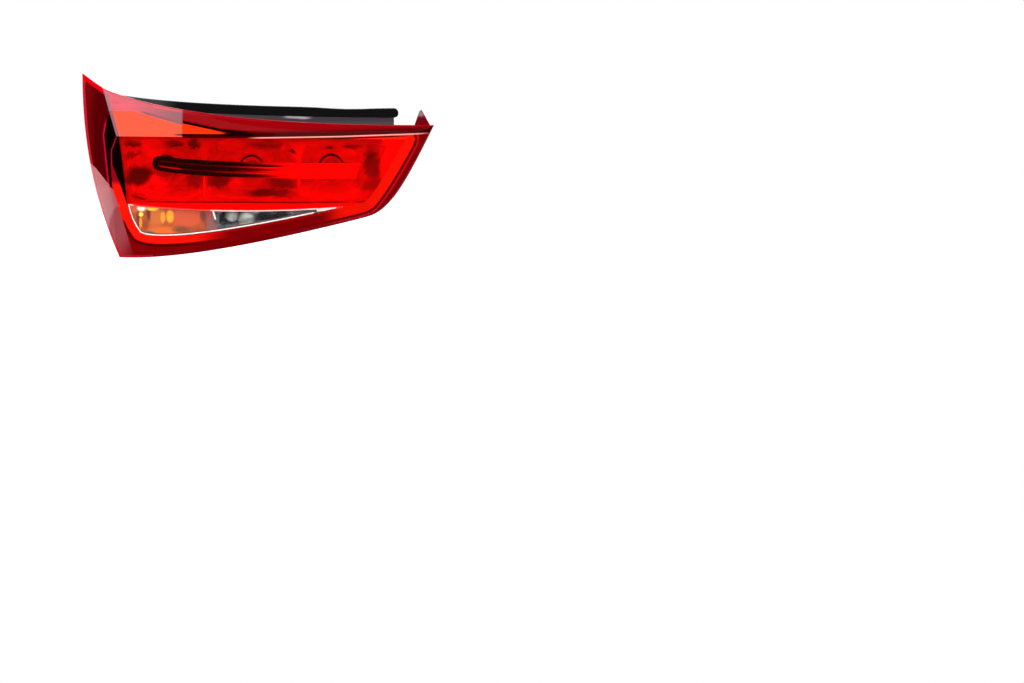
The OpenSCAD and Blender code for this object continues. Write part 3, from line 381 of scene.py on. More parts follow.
def frame_shoulder(tree, at, place, area, colour):
    """Shoulder, painted with a reflection on top of the real one of its gloss: orange over the stop
    chamber, rose above, lilac at its left edge; and a painted black line below.
    """
    x = at["X"]
    rose = layered(
        tree, blended(tree, streaks(tree, place, 5, 6), "#a00828", "#d02440"),
        (share(tree, x, 55, 112), "#701028"),
        (product(tree, strip(tree, area["rose_line"], 1.6, 1.4), (x, 62, 74)), "#6c001c"),
    )
    face = blended(tree, area["rose"], chosen("shoulder"), rose)
    face = blended(tree, share(tree, area["lean"], 4.2, 3.2), face, "#7a4454")
    line = product(tree, strip(tree, area["strip_floor"], 1.1), (x, 98, 112), (x, 200, 190))
    return layered(tree, colour, (area["shoulder"], face), (line, "#0c0001"))


def frame_flank(tree, at, place, area, colour):
    """Flank: wine red painted darker as shade, with a painted highlight at its edge, a painted greyish-rose
    reflection at its foot besides the real one of its gloss, and a painted lit crimson band on the spike.
    """
    x = at["X"]
    wine = layered(
        tree, blended(tree, share(tree, x, 4, 18), "#6c060a", chosen("flank")),
        (area["flank_foot"], blended(tree, share(tree, x, 22, 68), "#a03038", "#780c12")),
        (patch(tree, place, 36, 36, 18, 26, 0.6), "#944046"),
    )
    spike = product(tree, (along(tree, at, 3.4, 200, -0.7, -0.7), -1, 1), (x, 28, 22))
    return layered(tree, colour, (area["flank"], wine), (spike, "#c8000c"))


def frame_hollow_shade(tree, at, area, colour):
    """Hollows beside the pane painted black as shade, with painted lit lines, and the rib that widens
    downwards, painted bright below and darker above.
    """
    z = at["Z"]
    lit_wall = product(tree, strip(tree, area["wall"], 0.8, -1), (z, 160, 150), (z, 70, 84))
    rib_right = across(tree, at, 44, 83, -0.34, -0.396)
    rib = product(tree, (area["rib_left"], -0.5, 0.5), (rib_right, 0.5, -0.5), (z, 40, 48))
    line = product(
        tree, strip(tree, across(tree, at, 33.7, 123.4, 0, 0.38), 0.7), (z, 100, 108), (z, 140, 137),
    )
    return layered(
        tree, colour,
        (area["hollows"], "#080001"),
        (lit_wall, "#c00434"),
        (rib, blended(tree, share(tree, z, 80, 90), "#ff1408", "#8c0414")),
        (line, "#8c1020"),
    )


def frame_gloss(tree, at, area):
    """Gloss of the frame: most on the shoulder and the foot of the flank, none where it is black."""
    x = at["X"]
    foot = product(tree, area["flank_foot"], (x, 66, 20), area["flank"], (area["hollows"], 0.5, 0))
    shoulder = add(tree, "Math", [area["rose"], 0.3, 0.2], operation="MULTIPLY_ADD")
    shoulder = product(tree, area["shoulder"], shoulder)
    gloss = add(tree, "Math", [foot, 0.26, shoulder], operation="MULTIPLY_ADD")
    black_strip = product(tree, area["past_shoulder"], (area["strip_top"], 3, 1.5), (x, 230, 200))
    black_flank = product(tree, area["flank"], (foot, 0.2, 0))
    black = add(tree, "Math", [black_strip, black_flank], operation="MAXIMUM")
    black = add(tree, "Math", [area["hollows"], black], operation="MAXIMUM")
    return add(tree, "Math", [share(tree, black, 0.6, 0), 0.02, gloss], operation="MULTIPLY_ADD")


# The same acrylic where it is welded over the dark housing: wine red, with painted bright and black bands,
# painted highlights and painted reflections where its bevels and ribs gather the light or lose it
def red_acrylic_frame():
    mat, tree = new_material("red_acrylic_moulded_over_black")
    place = lamp_place(tree)
    at = parted(tree, place)
    area = frame_areas(tree, at)
    colour = frame_foot(tree, at, place)
    colour = frame_top(tree, at, area, colour)
    colour = frame_strip(tree, at, area, colour)
    colour = frame_shoulder(tree, at, place, area, colour)
    colour = frame_flank(tree, at, place, area, colour)
    colour = frame_hollow_shade(tree, at, area, colour)
    # Fin at the inner corner, and a painted highlight along the outer edge, which pipes light
    colour = patched(tree, place, colour, [
        (385, 161, 10, 8, 0.3, "#6c0612"),
        (385, 168, 5, 5, 0.4, "#8a767c"),
    ])
    edge = share(tree, add(tree, "Attribute", attribute_name="rim").outputs["Fac"], 0.91, 1)
    colour = layered(
        tree, colour,
        (product(tree, edge, (at["X"], 150, 90)), "#b41828"),
        (product(tree, edge, (at["X"], 90, 150)), "#8c0812"),
    )
    shader = add(tree, "BsdfPrincipled", {
        "Base Color": colour, "Roughness": 0.04, "IOR": 1.49,
        "Specular IOR Level": frame_gloss(tree, at, area),
    })
    return finished(mat, shader)


# Clear acrylic, injection moulded and polished
def clear_acrylic():
    mat, tree = new_material("clear_acrylic_moulded")
    place = lamp_place(tree)
    tint = mottled(tree, place, 60, "#ffffff", chosen("clear"))
    glass = add(tree, "BsdfPrincipled", {
        "Base Color": tint, "Roughness": 0.0, "IOR": 1.3, "Transmission Weight": 1,
        "Normal": uneven(tree, place, 30, 0.03),
    })
    return see_through(mat, glass, "#fcfcfc")


# Amber polycarbonate with fine flutes: it takes up and spreads the light of its chamber, which is painted
# on it as bright and dark patches
def amber_polycarbonate():
    mat, tree = new_material("amber_polycarbonate_fluted")
    place = lamp_place(tree)
    scale = WAVE_BAND / chosen_size("flute_mm")
    flutes = add(
        tree, "TexWave", {"Vector": place, "Scale": scale, "Distortion": 0}, bands_direction="X",
    ).outputs["Fac"]
    base = blended(tree, streaks(tree, place, 3, 0.4), "#782802", chosen("amber"))
    # Painted light and shade of the chamber, as glints and dark patches over the amber
    colour = patched(tree, place, base, [
        (118, 47, 18, 11, 0.25, "#b8441c"),
        (92, 31, 18, 5, 0.6, "#c85a04"),
        (112, 33, 9, 3.5, 0.6, "#6c3416"),
        (84, 48, 9, 11, 0.5, "#b4581a"),
        (58, 57, 5, 5, 0.4, "#c85810"),
        (75.5, 51, 2.4, 9, 0.5, "#5c2006"),
        (64, 45, 2.2, 8, 0.5, "#581c06"),
        (72, 38, 3, 6, 0.6, "#7c3008"),
        (92, 47, 2.6, 6, 0.4, "#e88820"),
        (100, 48, 4, 7, 0.35, "#f8941c"),
        (80, 57.5, 7, 3, 0.4, "#ffcc38"),
        (67.5, 57.5, 4.6, 3.6, 0.4, "#fff0e4"),
        (67, 50, 2.4, 2.4, 0.4, "#ffd638"),
        (66.5, 41, 1.5, 6, 0.5, "#f08010"),
        (75, 28, 8, 3, 0.5, "#5a4634"),
        (137, 50, 3, 8, 0.4, "#6c2812"),
    ])
    shader = add(tree, "BsdfPrincipled", {
        "Base Color": colour, "Roughness": 0.35, "IOR": 1.58, "Specular IOR Level": 0.15,
        "Normal": add(tree, "Bump", {"Height": flutes, "Distance": 0.04 * MM}),
    })
    return finished(mat, shader)


# Dark and bright places of the red chambers: painted reflections and painted shade, as their facets throw
# back the light
RED_PAINTED_REFLECTIONS = [
    (79, 130, 12, 13, 0.35, "#ff6040"),
    (84, 118, 10, 8, 0.5, "#ff2c14"),
    (170, 129, 16, 9, 0.3, "#ff4c30"),
    (196, 120, 14, 6, 0.5, "#ff2010"),
    (90, 89, 9, 13, 0.4, "#ff2c18"),
    (183, 83, 21, 8, 0.25, "#ff2c14"),
    (277, 123, 40, 13, 0.35, "#ff2a14"),
    (283, 78, 36, 10, 0.4, "#ff2412"),
    (63, 92.5, 15, 11, 0.35, "#4c0000"),
    (57, 130, 9, 4, 0.4, "#7c1410"),
    (58, 116, 9, 3, 0.4, "#980c04"),
    (106, 130, 10, 3.4, 0.4, "#5c0404"),
    (126, 130, 7, 7, 0.35, "#500006"),
    (128, 87, 11, 9, 0.5, "#900000"),
    (155, 86, 12, 7, 0.3, "#840000"),
    (330, 107, 9, 17, 0.35, "#700202"),
    (228, 84, 18, 7, 0.4, "#900000"),
    (65, 70, 9, 2.2, 0.5, "#700000"),
    (214, 73, 26, 3.4, 0.5, "#640000"),
    (209, 129, 19, 6, 0.5, "#9c0000"),
    (306, 127, 11, 3.6, 0.5, "#780202"),
    (334, 84, 18, 8, 0.5, "#980202"),
    (240, 122, 4, 2.8, 0.5, "#480000"),
    (282, 123, 3, 2.8, 0.4, "#480000"),
    (352, 118, 3.4, 6, 0.5, "#680000"),
    (229, 127, 2.6, 4, 0.5, "#ff4058"),
]


def red_light(tree, place):
    """Colour of the red chambers, lively with streaks, and with painted reflections and shade as patches
    whose edges wander.
    """
    drawn = add(tree, "Mapping", {"Vector": place, "Scale": (0.5, 1, 1)})
    stir = add(tree, "TexNoise", {"Vector": drawn, "Scale": 1 / 9, "Detail": 3}).outputs["Color"]
    stir = add(tree, "VectorMath", [stir, (0.5, 0.5, 0.5)], operation="SUBTRACT")
    stir = add(tree, "VectorMath", {0: stir, "Scale": 14}, operation="SCALE")
    place = add(tree, "VectorMath", [place, stir], operation="ADD")
    base = blended(tree, streaks(tree, place, 5, 3), "#b80804", "#ff2c14")
    return patched(tree, place, base, RED_PAINTED_REFLECTIONS)


# Metallised plastic under red lacquer, in the bowls behind the red pane, with painted reflections and shade
def red_lacquered_bowl():
    mat, tree = new_material("red_lacquer_over_metallised_bowl")
    place = lamp_place(tree)
    shader = add(tree, "BsdfPrincipled", {
        "Base Color": red_light(tree, place), "Metallic": 0.25, "Roughness": 0.3,
    })
    return finished(mat, shader)


# The same coating on the bezel, with the same painted reflections and shade, left bright behind the clear
# pane
def red_lacquered_bezel():
    mat, tree = new_material("red_lacquer_over_metallised_plastic")
    place = lamp_place(tree)
    at = parted(tree, place)
    colour = blended(tree, 0.42, red_light(tree, place), "#500000")
    # Right side and the strip under the bowls are bright, with a groove over the strip that is painted dark
    # as shade
    strip_top = share(tree, along(tree, at, 250, 62.4, 0, 0.02), 0.8, -0.8)
    bright = add(tree, "Math", [share(tree, at["X"], 338, 344), strip_top], operation="MAXIMUM")
    colour = blended(tree, bright, colour, "#ff2c18")
    # Painted glints on the walls between the bowls
    colour = patched(tree, place, colour, [
        (139, 84, 0.9, 11, 0.5, "#ff8a80"),
        (246.3, 87, 0.8, 6, 0.5, "#ff8078"),
    ])
    groove = product(
        tree, strip(tree, along(tree, at, 250, 64.4, 0, 0.02), 0.8), (at["X"], 62, 80),
        (streaks(tree, place, 8, 4), 0.3, 0.5),
    )
    colour = blended(tree, groove, colour, "#4c0000")
    # Behind the clear pane: painted amber light on the left of a leaning edge with a painted white
    # highlight, grey on its right
    wedge = share(tree, along(tree, at, 148, 55.2, -0.075, 0.01), 0.4, -0.4)
    grey = blended(tree, streaks(tree, place, 4, 3), "#2e2c30", "#54505a")
    lean = across(tree, at, 0, 57, -0.29, -0.29)
    grey = blended(tree, share(tree, lean, 147.4, 146.6), grey, "#9c3420")
    grey = patched(tree, place, grey, [
        (147, 38, 4, 7, 0.9, "#6c4c48"),
        (152, 47, 2, 7, 0.5, "#202224"),
    ])
    off = add(tree, "Math", [lean, 148], operation="SUBTRACT")
    edge = share(tree, add(tree, "Math", [off], operation="ABSOLUTE"), 1.3, 0.5)
    grey = blended(tree, product(tree, edge, (at["Z"], 43, 46)), grey, "#ffffff")
    colour = blended(tree, wedge, colour, grey)
    shader = add(tree, "BsdfPrincipled", {
        "Base Color": colour, "Metallic": 0.2, "Roughness": 0.3,
        "Normal": uneven(tree, place, 4, 0.05, 2),
    })
    return finished(mat, shader)


# Metallised plastic, vapour coated with aluminium: bright, with painted reflections in its facets: the dark
# room and white highlights
def metallised_plastic():
    mat, tree = new_material("metallised_plastic_vapour_coated")
    place = lamp_place(tree)
    base = blended(tree, streaks(tree, place, 5, 2), "#58545a", "#a8a2a8")
    # Painted reflections: dark patches of the room and white highlights
    colour = patched(tree, place, base, [
        (157, 49, 5, 8, 0.3, "#1c1e1e"),
        (216, 49, 20, 12, 0.3, "#26262a"),
        (176, 52, 3, 5, 0.5, "#3c383e"),
        (167, 49, 3.6, 8, 0.35, "#ffffff"),
        (186, 42.5, 9, 6, 0.3, "#fbfff6"),
        (196, 51, 6, 3, 0.5, "#a8a4a8"),
    ])
    shader = add(tree, "BsdfPrincipled", {
        "Base Color": colour, "Metallic": 0.3, "Roughness": 0.25,
        "Normal": uneven(tree, place, 9, 0.4),
    })
    return finished(mat, shader)


# Bright plated rim of the lower chambers
def bright_trim():
    mat, tree = new_material("bright_trim_plated_plastic")
    place = lamp_place(tree)
    at = parted(tree, place)
    colour = mottled(tree, place, 9, "#ffffff", "#f0b8b0")
    # Painted shade on the faces that turn away from the front
    colour = blended(tree, share(tree, facing_back(tree), -0.8, -0.5), colour, "#6c4430")
    # Its top over the amber chamber takes the red of the pane, painted on as light
    top = product(
        tree, (along(tree, at, 148, 52.6, -0.08, 0), -0.5, 0.5), (at["X"], 147, 145),
        (at["X"], 57, 59),
    )
    # Dark core of its tail, which narrows to the right
    core = add(tree, "Math", [along(tree, at, 268, 54.2, 0.126, 0.126)], operation="ABSOLUTE")
    inwards = add(tree, "Math", [at["X"], 283], operation="SUBTRACT")
    core = add(tree, "Math", [inwards, 0.075, core], operation="MULTIPLY_ADD")
    core = product(tree, (core, 0.4, -0.4), (at["X"], 262, 265))
    # Foot of the bar between the chambers
    bar = product(tree, strip(tree, at["X"], 5, 150), (at["Z"], 46, 43), (at["Z"], 34, 36))
    colour = layered(tree, colour, (top, "#e0301c"), (core, "#4c464a"), (bar, "#6c5c60"))
    shader = add(tree, "BsdfPrincipled", {
        "Base Color": colour, "Metallic": 0.1, "Roughness": 0.25,
    })
    return finished(mat, shader)


# Wing of dyed polycarbonate: black at its round end, with dark lines that fade as its inner end
# takes up light, which is painted on as a glow from black to bright red
def wing_polycarbonate():
    mat, tree = new_material("dyed_polycarbonate_moulded_wing")
    at = parted(tree, lamp_place(tree))
    fall = add(tree, "Math", [86, at["X"]], operation="SUBTRACT")
    fall = add(tree, "Math", [fall, 45], operation="DIVIDE")
    fall = add(tree, "Math", [2.718, fall], operation="POWER")
    height = add(tree, "Math", [fall, 8, 100.6], operation="MULTIPLY_ADD")
    height = add(tree, "Math", [at["Z"], height], operation="SUBTRACT")
    # Painted glow: black at the round end, rising to bright red at the inner end
    body = add(tree, "ValToRGB", [add(tree, "Math", [at["X"], 400], operation="DIVIDE")], [
        (0.25, "#010000"), (0.35, "#040001"), (0.43, "#1c0005"),
        (0.49, "#700410"), (0.53, "#b40c14"), (0.585, "#ff2814"),
    ])
    # Each line by its height at the right, how it rises to the left, half its width, how that
    # grows to the left, and where it starts and ends to fade
    for middle, rise, half, widen, start, end in (
        (5, 7, 1.3, 1.6, 212, 250), (0.6, 3, 0.8, 1, 206, 234), (-6, 0, 1.1, 2, 200, 240),
    ):
        off = add(tree, "Math", [fall, rise, middle], operation="MULTIPLY_ADD")
        off = add(tree, "Math", [height, off], operation="SUBTRACT")
        off = add(tree, "Math", [off], operation="ABSOLUTE")
        off = add(tree, "Math", [fall, -widen, off], operation="MULTIPLY_ADD")
        line = product(tree, (off, half + 0.6, half - 0.6), (at["X"], end, start))
        body = blended(tree, line, body, "#010000")
    shader = add(tree, "BsdfPrincipled", {
        "Base Color": body, "Roughness": 0.5, "IOR": 1.3, "Specular IOR Level": 0.0,
    })
    return finished(mat, shader)


# Light guide of polished acrylic in the wing: painted pink light at its bend and along the lower leg, then
# as dark as the wing, and a painted red glow at its inner end
def light_guide():
    mat, tree = new_material("light_guide_acrylic_polished")
    at = parted(tree, lamp_place(tree))
    leg = add(tree, "ValToRGB", [share(tree, at["X"], 86, 240)], [
        (0, "#98203c"), (0.04, "#b02038"), (0.1, "#380608"),
        (0.3, "#300406"), (0.7, "#90080c"), (1, "#ff2814"),
    ])
    upper = product(tree, (along(tree, at, 92, 107, -0.1, -0.1), -1, 2), (at["X"], 200, 150))
    colour = blended(tree, upper, leg, "#300808")
    colour = blended(tree, share(tree, at["X"], 90, 87), colour, "#020000")
    shader = add(tree, "BsdfPrincipled", {
        "Base Color": colour, "Roughness": 0.4, "IOR": 1.3, "Specular IOR Level": 0.2,
    })
    return finished(mat, shader)


# Glass of the bulbs, blown: so thin that it hardly bends the light
def bulb_glass(name, code):
    mat, tree = new_material(name)
    place = lamp_place(tree)
    lacquer = mottled(tree, place, 6, "#ffa850", code, 2)
    glass = add(tree, "BsdfPrincipled", {
        "Base Color": lacquer, "Roughness": 0, "IOR": 1.06, "Transmission Weight": 1,
    })
    return see_through(mat, glass, code)


# Frosted bulb glass: it glows softly in the light of its bowl, painted near white on the sides that turn
# from the front
def pearl_glass(name, low, high):
    mat, tree = new_material(name)
    place = lamp_place(tree)
    colour = mottled(tree, place, 5, low, high, 2)
    # Painted glow on the sides that turn from the front
    colour = blended(tree, share(tree, facing_back(tree), -0.8, -0.2), colour, "#fff8f4")
    shader = add(tree, "BsdfPrincipled", {
        "Base Color": colour, "Roughness": 0.5, "IOR": 1.3, "Transmission Weight": 0.2,
    })
    return finished(mat, shader)


# Engineering plastics, injection moulded: satin, with a spark-eroded grain that is drawn coarser
# than the real 0.2 mm so that it shows
def moulded_plastic(name, main, grain=1, rough=0.45, depth=0.03, places=()):
    mat, tree = new_material(name)
    place = lamp_place(tree)
    scale = 1 / (grain * chosen_size("grain_mm"))
    grain = add(tree, "TexNoise", {"Vector": place, "Scale": scale, "Detail": 3, "Roughness": 0.6})
    dark = [c * 0.82 for c in main[:3]] + [1]
    colour = patched(tree, place, mottled(tree, place, 38, dark, main, 2), places)
    shader = add(tree, "BsdfPrincipled", {
        "Base Color": colour, "IOR": 1.5,
        "Normal": add(tree, "Bump", {"Height": grain, "Distance": depth * MM}),
        "Roughness": add(tree, "Math", [grain, 0.12, rough - 0.06], operation="MULTIPLY_ADD"),
    })
    return finished(mat, shader)


# Foam rubber, cut from cellular sheet: open pores that take the shine away
def foam_rubber():
    mat, tree = new_material("cellular_rubber_die_cut")
    place = lamp_place(tree)
    at = parted(tree, place)
    scale = 1 / chosen_size("pore_mm")
    pores = add(tree, "TexVoronoi", {"Vector": place, "Scale": scale}).outputs["Distance"]
    colour = blended(tree, pores, "#000000", chosen("rubber"))
    # Painted highlight: the seal's top is lighter grey at the left
    painted_sheen = product(tree, (at["X"], 112, 78), (at["Z"], 100, 130))
    colour = blended(tree, painted_sheen, colour, "#3a4246")
    shader = add(tree, "BsdfPrincipled", {
        "Base Color": colour, "Roughness": 0.75, "IOR": 1.5, "Specular IOR Level": 0.12,
        "Normal": add(tree, "Bump", {"Height": pores, "Distance": 0.1 * MM}),
    })
    return finished(mat, shader)


def screw_thread(tree, place, pitch_mm):
    """Ridges of a rolled thread along the lamp's depth."""
    return add(
        tree, "TexWave", {"Vector": place, "Scale": WAVE_BAND / pitch_mm, "Distortion": 0},
        bands_direction="Y", wave_profile="TRI",
    ).outputs["Fac"]


# Metals as stamped, drawn or plated, with the streaks of their making
def metal(name, main, rough, pitch_mm=0):
    mat, tree = new_material(name)
    place = lamp_place(tree)
    stretched = add(tree, "Mapping", {0: place, "Scale": (1, 0.12, 1)})
    drawn = add(tree, "TexNoise", {"Vector": stretched, "Scale": 1 / 1.2, "Detail": 3})
    height, depth = (screw_thread(tree, place, pitch_mm), 0.5) if pitch_mm else (drawn, 0.02)
    relief = add(tree, "Bump", {"Height": height, "Distance": depth * MM})
    dark = [c * 0.8 for c in main[:3]] + [1]
    shader = add(tree, "BsdfPrincipled", {
        "Base Color": blended(tree, drawn, dark, main), "Metallic": 1, "Normal": relief,
        "Roughness": add(tree, "Math", [drawn, 0.2, rough - 0.1], operation="MULTIPLY_ADD"),
    })
    return finished(mat, shader)


def dress(name, mat):
    """Gives a CAD node its material."""
    mesh = frame["nodes"][name].data
    mesh.materials.clear()
    mesh.materials.append(mat)


def only(obj):
    """Makes an object the one that is selected and active."""
    bpy.ops.object.select_all(action="DESELECT")
    obj.select_set(True)
    bpy.context.view_layer.objects.active = obj


def off_face(co):
    """How far a point lies behind the pane's outer face, in millimetres."""
    at = (co - CORNER) / MM
    return at.y - (at.x - CROWN_X) ** 2 / FALL_X - (at.z - CROWN_Z) ** 2 / FALL_Z


def part_of_lens(offs):
    """Which part of the red lens a face is, by how far its corners lie behind the pane's face."""
    pane = all(min(abs(o), abs(o - LENS_T)) < NEAR for o in offs)
    outside = all(min(abs(o), abs(o - RING_STEP)) < NEAR for o in offs)
    inside = all(min(abs(o - LENS_T), abs(o - LENS_T - RING_STEP)) < NEAR_BEHIND for o in offs)
    return PANE if pane else RING if outside or inside else FRAME


def skin(node, name, sort=None):
    """A smooth copy of a lens: merged, sorted by part, made quads, creased at its edges and subdivided."""
    piece = frame["nodes"][node].copy()
    piece.data = frame["nodes"][node].data.copy()
    for key in list(piece.keys()):
        del piece[key]
    piece.name = name
    piece.data.name = name
    bpy.context.scene.collection.objects.link(piece)
    only(piece)
    bpy.ops.object.mode_set(mode="EDIT")
    bpy.ops.mesh.select_all(action="SELECT")
    bpy.ops.mesh.remove_doubles(threshold=MERGE)
    if sort:
        bpy.ops.object.mode_set(mode="OBJECT")
        offs = [off_face(v.co) for v in piece.data.vertices]
        for face in piece.data.polygons:
            face.material_index = sort([offs[v] for v in face.vertices])
        bpy.ops.object.mode_set(mode="EDIT")
    bpy.ops.mesh.tris_convert_to_quads(
        face_threshold=math.radians(JOIN_FACES), shape_threshold=math.radians(JOIN_SHAPES), materials=True,
    )
    bpy.ops.mesh.select_mode(type="EDGE")
    bpy.ops.mesh.select_all(action="DESELECT")
    bpy.ops.mesh.edges_select_sharp(sharpness=math.radians(SHARP))
    # The borders between the lens's parts stay crisp too
    bpy.ops.object.mode_set(mode="OBJECT")
    parts = {}
    for face in piece.data.polygons:
        for key in face.edge_keys:
            parts.setdefault(key, set()).add(face.material_index)
    for edge in piece.data.edges:
        if len(parts[edge.key]) > 1:
            edge.select = True
    bpy.ops.object.mode_set(mode="EDIT")
    bpy.ops.transform.edge_crease(value=1)
    bpy.ops.object.mode_set(mode="OBJECT")
    levels = chosen_size("skin_levels")
    if levels:
        modifier = piece.modifiers.new("smooth", "SUBSURF")
        modifier.levels = modifier.render_levels = levels
        bpy.ops.object.modifier_apply(modifier=modifier.name)
    bpy.ops.object.shade_smooth_by_angle(angle=math.radians(SHARP + 4))
    return piece


def mark_places(mesh, parts):
    """Stores how far each vertex lies from the pane's outline, and whether it lies on the lens's sides."""
    flat = [Vector((v.co.x, v.co.z)) / MM for v in mesh.vertices]
    upright = [Vector((c.x, 0, c.y)) for c in flat]
    sides = [
        f.vertices[:] for f, part in zip(mesh.polygons, parts) if abs(f.normal.y) < SIDE_Y and part != PANE
    ]
    side_tree = BVHTree.FromPolygons(upright, sides)
    uses = {}
    for face, part in zip(mesh.polygons, parts):
        if part == PANE:
            for key in face.edge_keys:
                uses[key] = uses.get(key, 0) + 1
    outline = [key for key, count in uses.items() if count == 1]
    for edge in mesh.edges:
        if uses.get(edge.key) == 1:
            edge.use_edge_sharp = True
    rim = mesh.attributes.new("rim", "FLOAT", "POINT")
    ring = mesh.attributes.new("ring", "FLOAT", "POINT")
    for i, here in enumerate(flat):
        distance = side_tree.find_nearest(upright[i])[3]
        rim.data[i].value = 1 if distance is not None and distance < SIDE_REACH else 0
        off = math.inf
        for a, b in outline:
            near, t = intersect_point_line(here, flat[a], flat[b])
            near = flat[a] if t < 0 else flat[b] if t > 1 else near
            off = min(off, (here - near.to_2d()).length)
        ring.data[i].value = off


class TAILLIGHT_OT_red_lens(bpy.types.Operator):
    """Make the smooth skin of the red lens, with its pane, bevel and frame"""
    bl_idname = "taillight.red_lens"
    bl_label = "Red lens"

    def execute(self, context):
        piece = skin("lens_red", "red_lens_skin", sort=part_of_lens)
        mesh = piece.data
        parts = [face.material_index for face in mesh.polygons]
        mesh.materials.clear()
        for mat in (red_acrylic_frame(), red_acrylic_pane()):
            mesh.materials.append(mat)
        for face, part in zip(mesh.polygons, parts):
            face.material_index = 1 if part == PANE else 0
        mark_places(mesh, parts)
        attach(piece, "root")
        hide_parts("lens_red")
        return {"FINISHED"}


class TAILLIGHT_OT_clear_lens(bpy.types.Operator):
    """Make the smooth skin of the clear pane in the lower wedge"""
    bl_idname = "taillight.clear_lens"
    bl_label = "Clear lens"

    def execute(self, context):
        piece = skin("lens_clear", "clear_lens_skin")
        piece.data.materials.clear()
        piece.data.materials.append(clear_acrylic())
        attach(piece, "root")
        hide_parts("lens_clear")
        return {"FINISHED"}


class TAILLIGHT_OT_inner_parts(bpy.types.Operator):
    """Finish the pieces behind the lens"""
    bl_idname = "taillight.inner_parts"
    bl_label = "Inner parts"

    def execute(self, context):
        red = red_lacquered_bowl()
        for name in ("stop", "tail", "fog"):
            dress("reflector_" + name, red)
        chrome = metallised_plastic()
        for name in ("turn", "reverse"):
            dress("reflector_" + name, chrome)
        dress("bezel", red_lacquered_bezel())
        dress("lower_trim", bright_trim())
        dress("turn_filter", amber_polycarbonate())
        dress("blade", wing_polycarbonate())
        dress("blade_light", light_guide())
        return {"FINISHED"}


class TAILLIGHT_OT_bulbs(bpy.types.Operator):
    """Finish the bulbs"""
    bl_idname = "taillight.bulbs"
    bl_label = "Bulbs"

    def execute(self, context):
        pearl = pearl_glass("bulb_glass_frosted", "#8c8884", "#b8b4b0")
        amber = bulb_glass("bulb_glass_amber_lacquered", "#ffb060")
        brass = metal("brass_drawn_bulb_cap", linear("#d8b878"), 0.32)
        ceramic = moulded_plastic("polyamide_moulded_bulb_base", linear("#e4e2da"), 0.8, 0.5)
        for name in ("stop", "tail", "fog"):
            dress("bulb_" + name + "_glass", pearl)
            dress("bulb_" + name + "_cap", brass)
        dress("bulb_reverse_glass", pearl_glass("bulb_glass_frosted_white", "#d4d0cc", "#ffffff"))
        dress("bulb_turn_glass", amber)
        for name in ("turn", "reverse"):
            dress("bulb_" + name + "_base", ceramic)
        return {"FINISHED"}


class TAILLIGHT_OT_back_parts(bpy.types.Operator):
    """Finish the housing, the carrier and the fixings"""
    bl_idname = "taillight.back_parts"
    bl_label = "Back parts"

    def execute(self, context):
        zinc = metal("steel_zinc_plated_rolled", chosen("fixings"), 0.34)
        tinned = metal("brass_tinned_stamped", chosen("contacts"), 0.3)
        rubber = foam_rubber()
        # The flange is darker than the shell, with painted glints where it bends
        flange = [
            (210, 158, 230, 6, 0.3, "#2a1224"),
            (243, 157.6, 11, 1.2, 0.9, "#d8cccc"),
            (235, 160, 4, 2.4, 0.9, "#fff4f4"),
            (252, 156.6, 6, 1, 0.9, "#b8acb0"),
            (360, 157, 4, 3, 0.5, "#a89ca4"),
            (180, 158, 60, 3, 0.6, "#2c2028"),
        ]
        dress("housing", moulded_plastic(
            "polypropylene_talc_filled_moulded", chosen("housing"), rough=0.42, places=flange,
        ))
        dress("bulb_carrier", moulded_plastic("polybutylene_moulded_carrier", chosen("carrier"), 0.9, 0.48))
        for name in ("body_seal", "carrier_gasket", "stud_gaskets"):
            dress(name, rubber)
        dress("bump_stops", moulded_plastic("solid_rubber_moulded", linear("#161617"), 0.9, 0.62))
        dress("vent_caps", moulded_plastic("polypropylene_moulded_vent", linear("#1c1c1e"), 0.8, 0.5))
        thread = metal("steel_zinc_plated_thread_rolled", chosen("fixings"), 0.34, chosen_size("pitch_mm"))
        dress("studs", thread)
        dress("carrier_screws", zinc)
        for name in ("ground", "stop", "tail", "fog", "turn", "reverse"):
            dress("contact_" + name, tinned)
        return {"FINISHED"}


def softbox(name, look, power):
    """A rectangular soft light that looks at a point."""
    place, size = SOFTBOXES[name]
    data = bpy.data.lights.new("softbox_" + name, "AREA")
    data.shape = "RECTANGLE"
    data.size, data.size_y = size
    data.energy = power
    obj = bpy.data.objects.new("softbox_" + name, data)
    obj.location = place
    obj.rotation_euler = (look - Vector(place)).to_track_quat("-Z", "Y").to_euler()
    bpy.context.scene.collection.objects.link(obj)


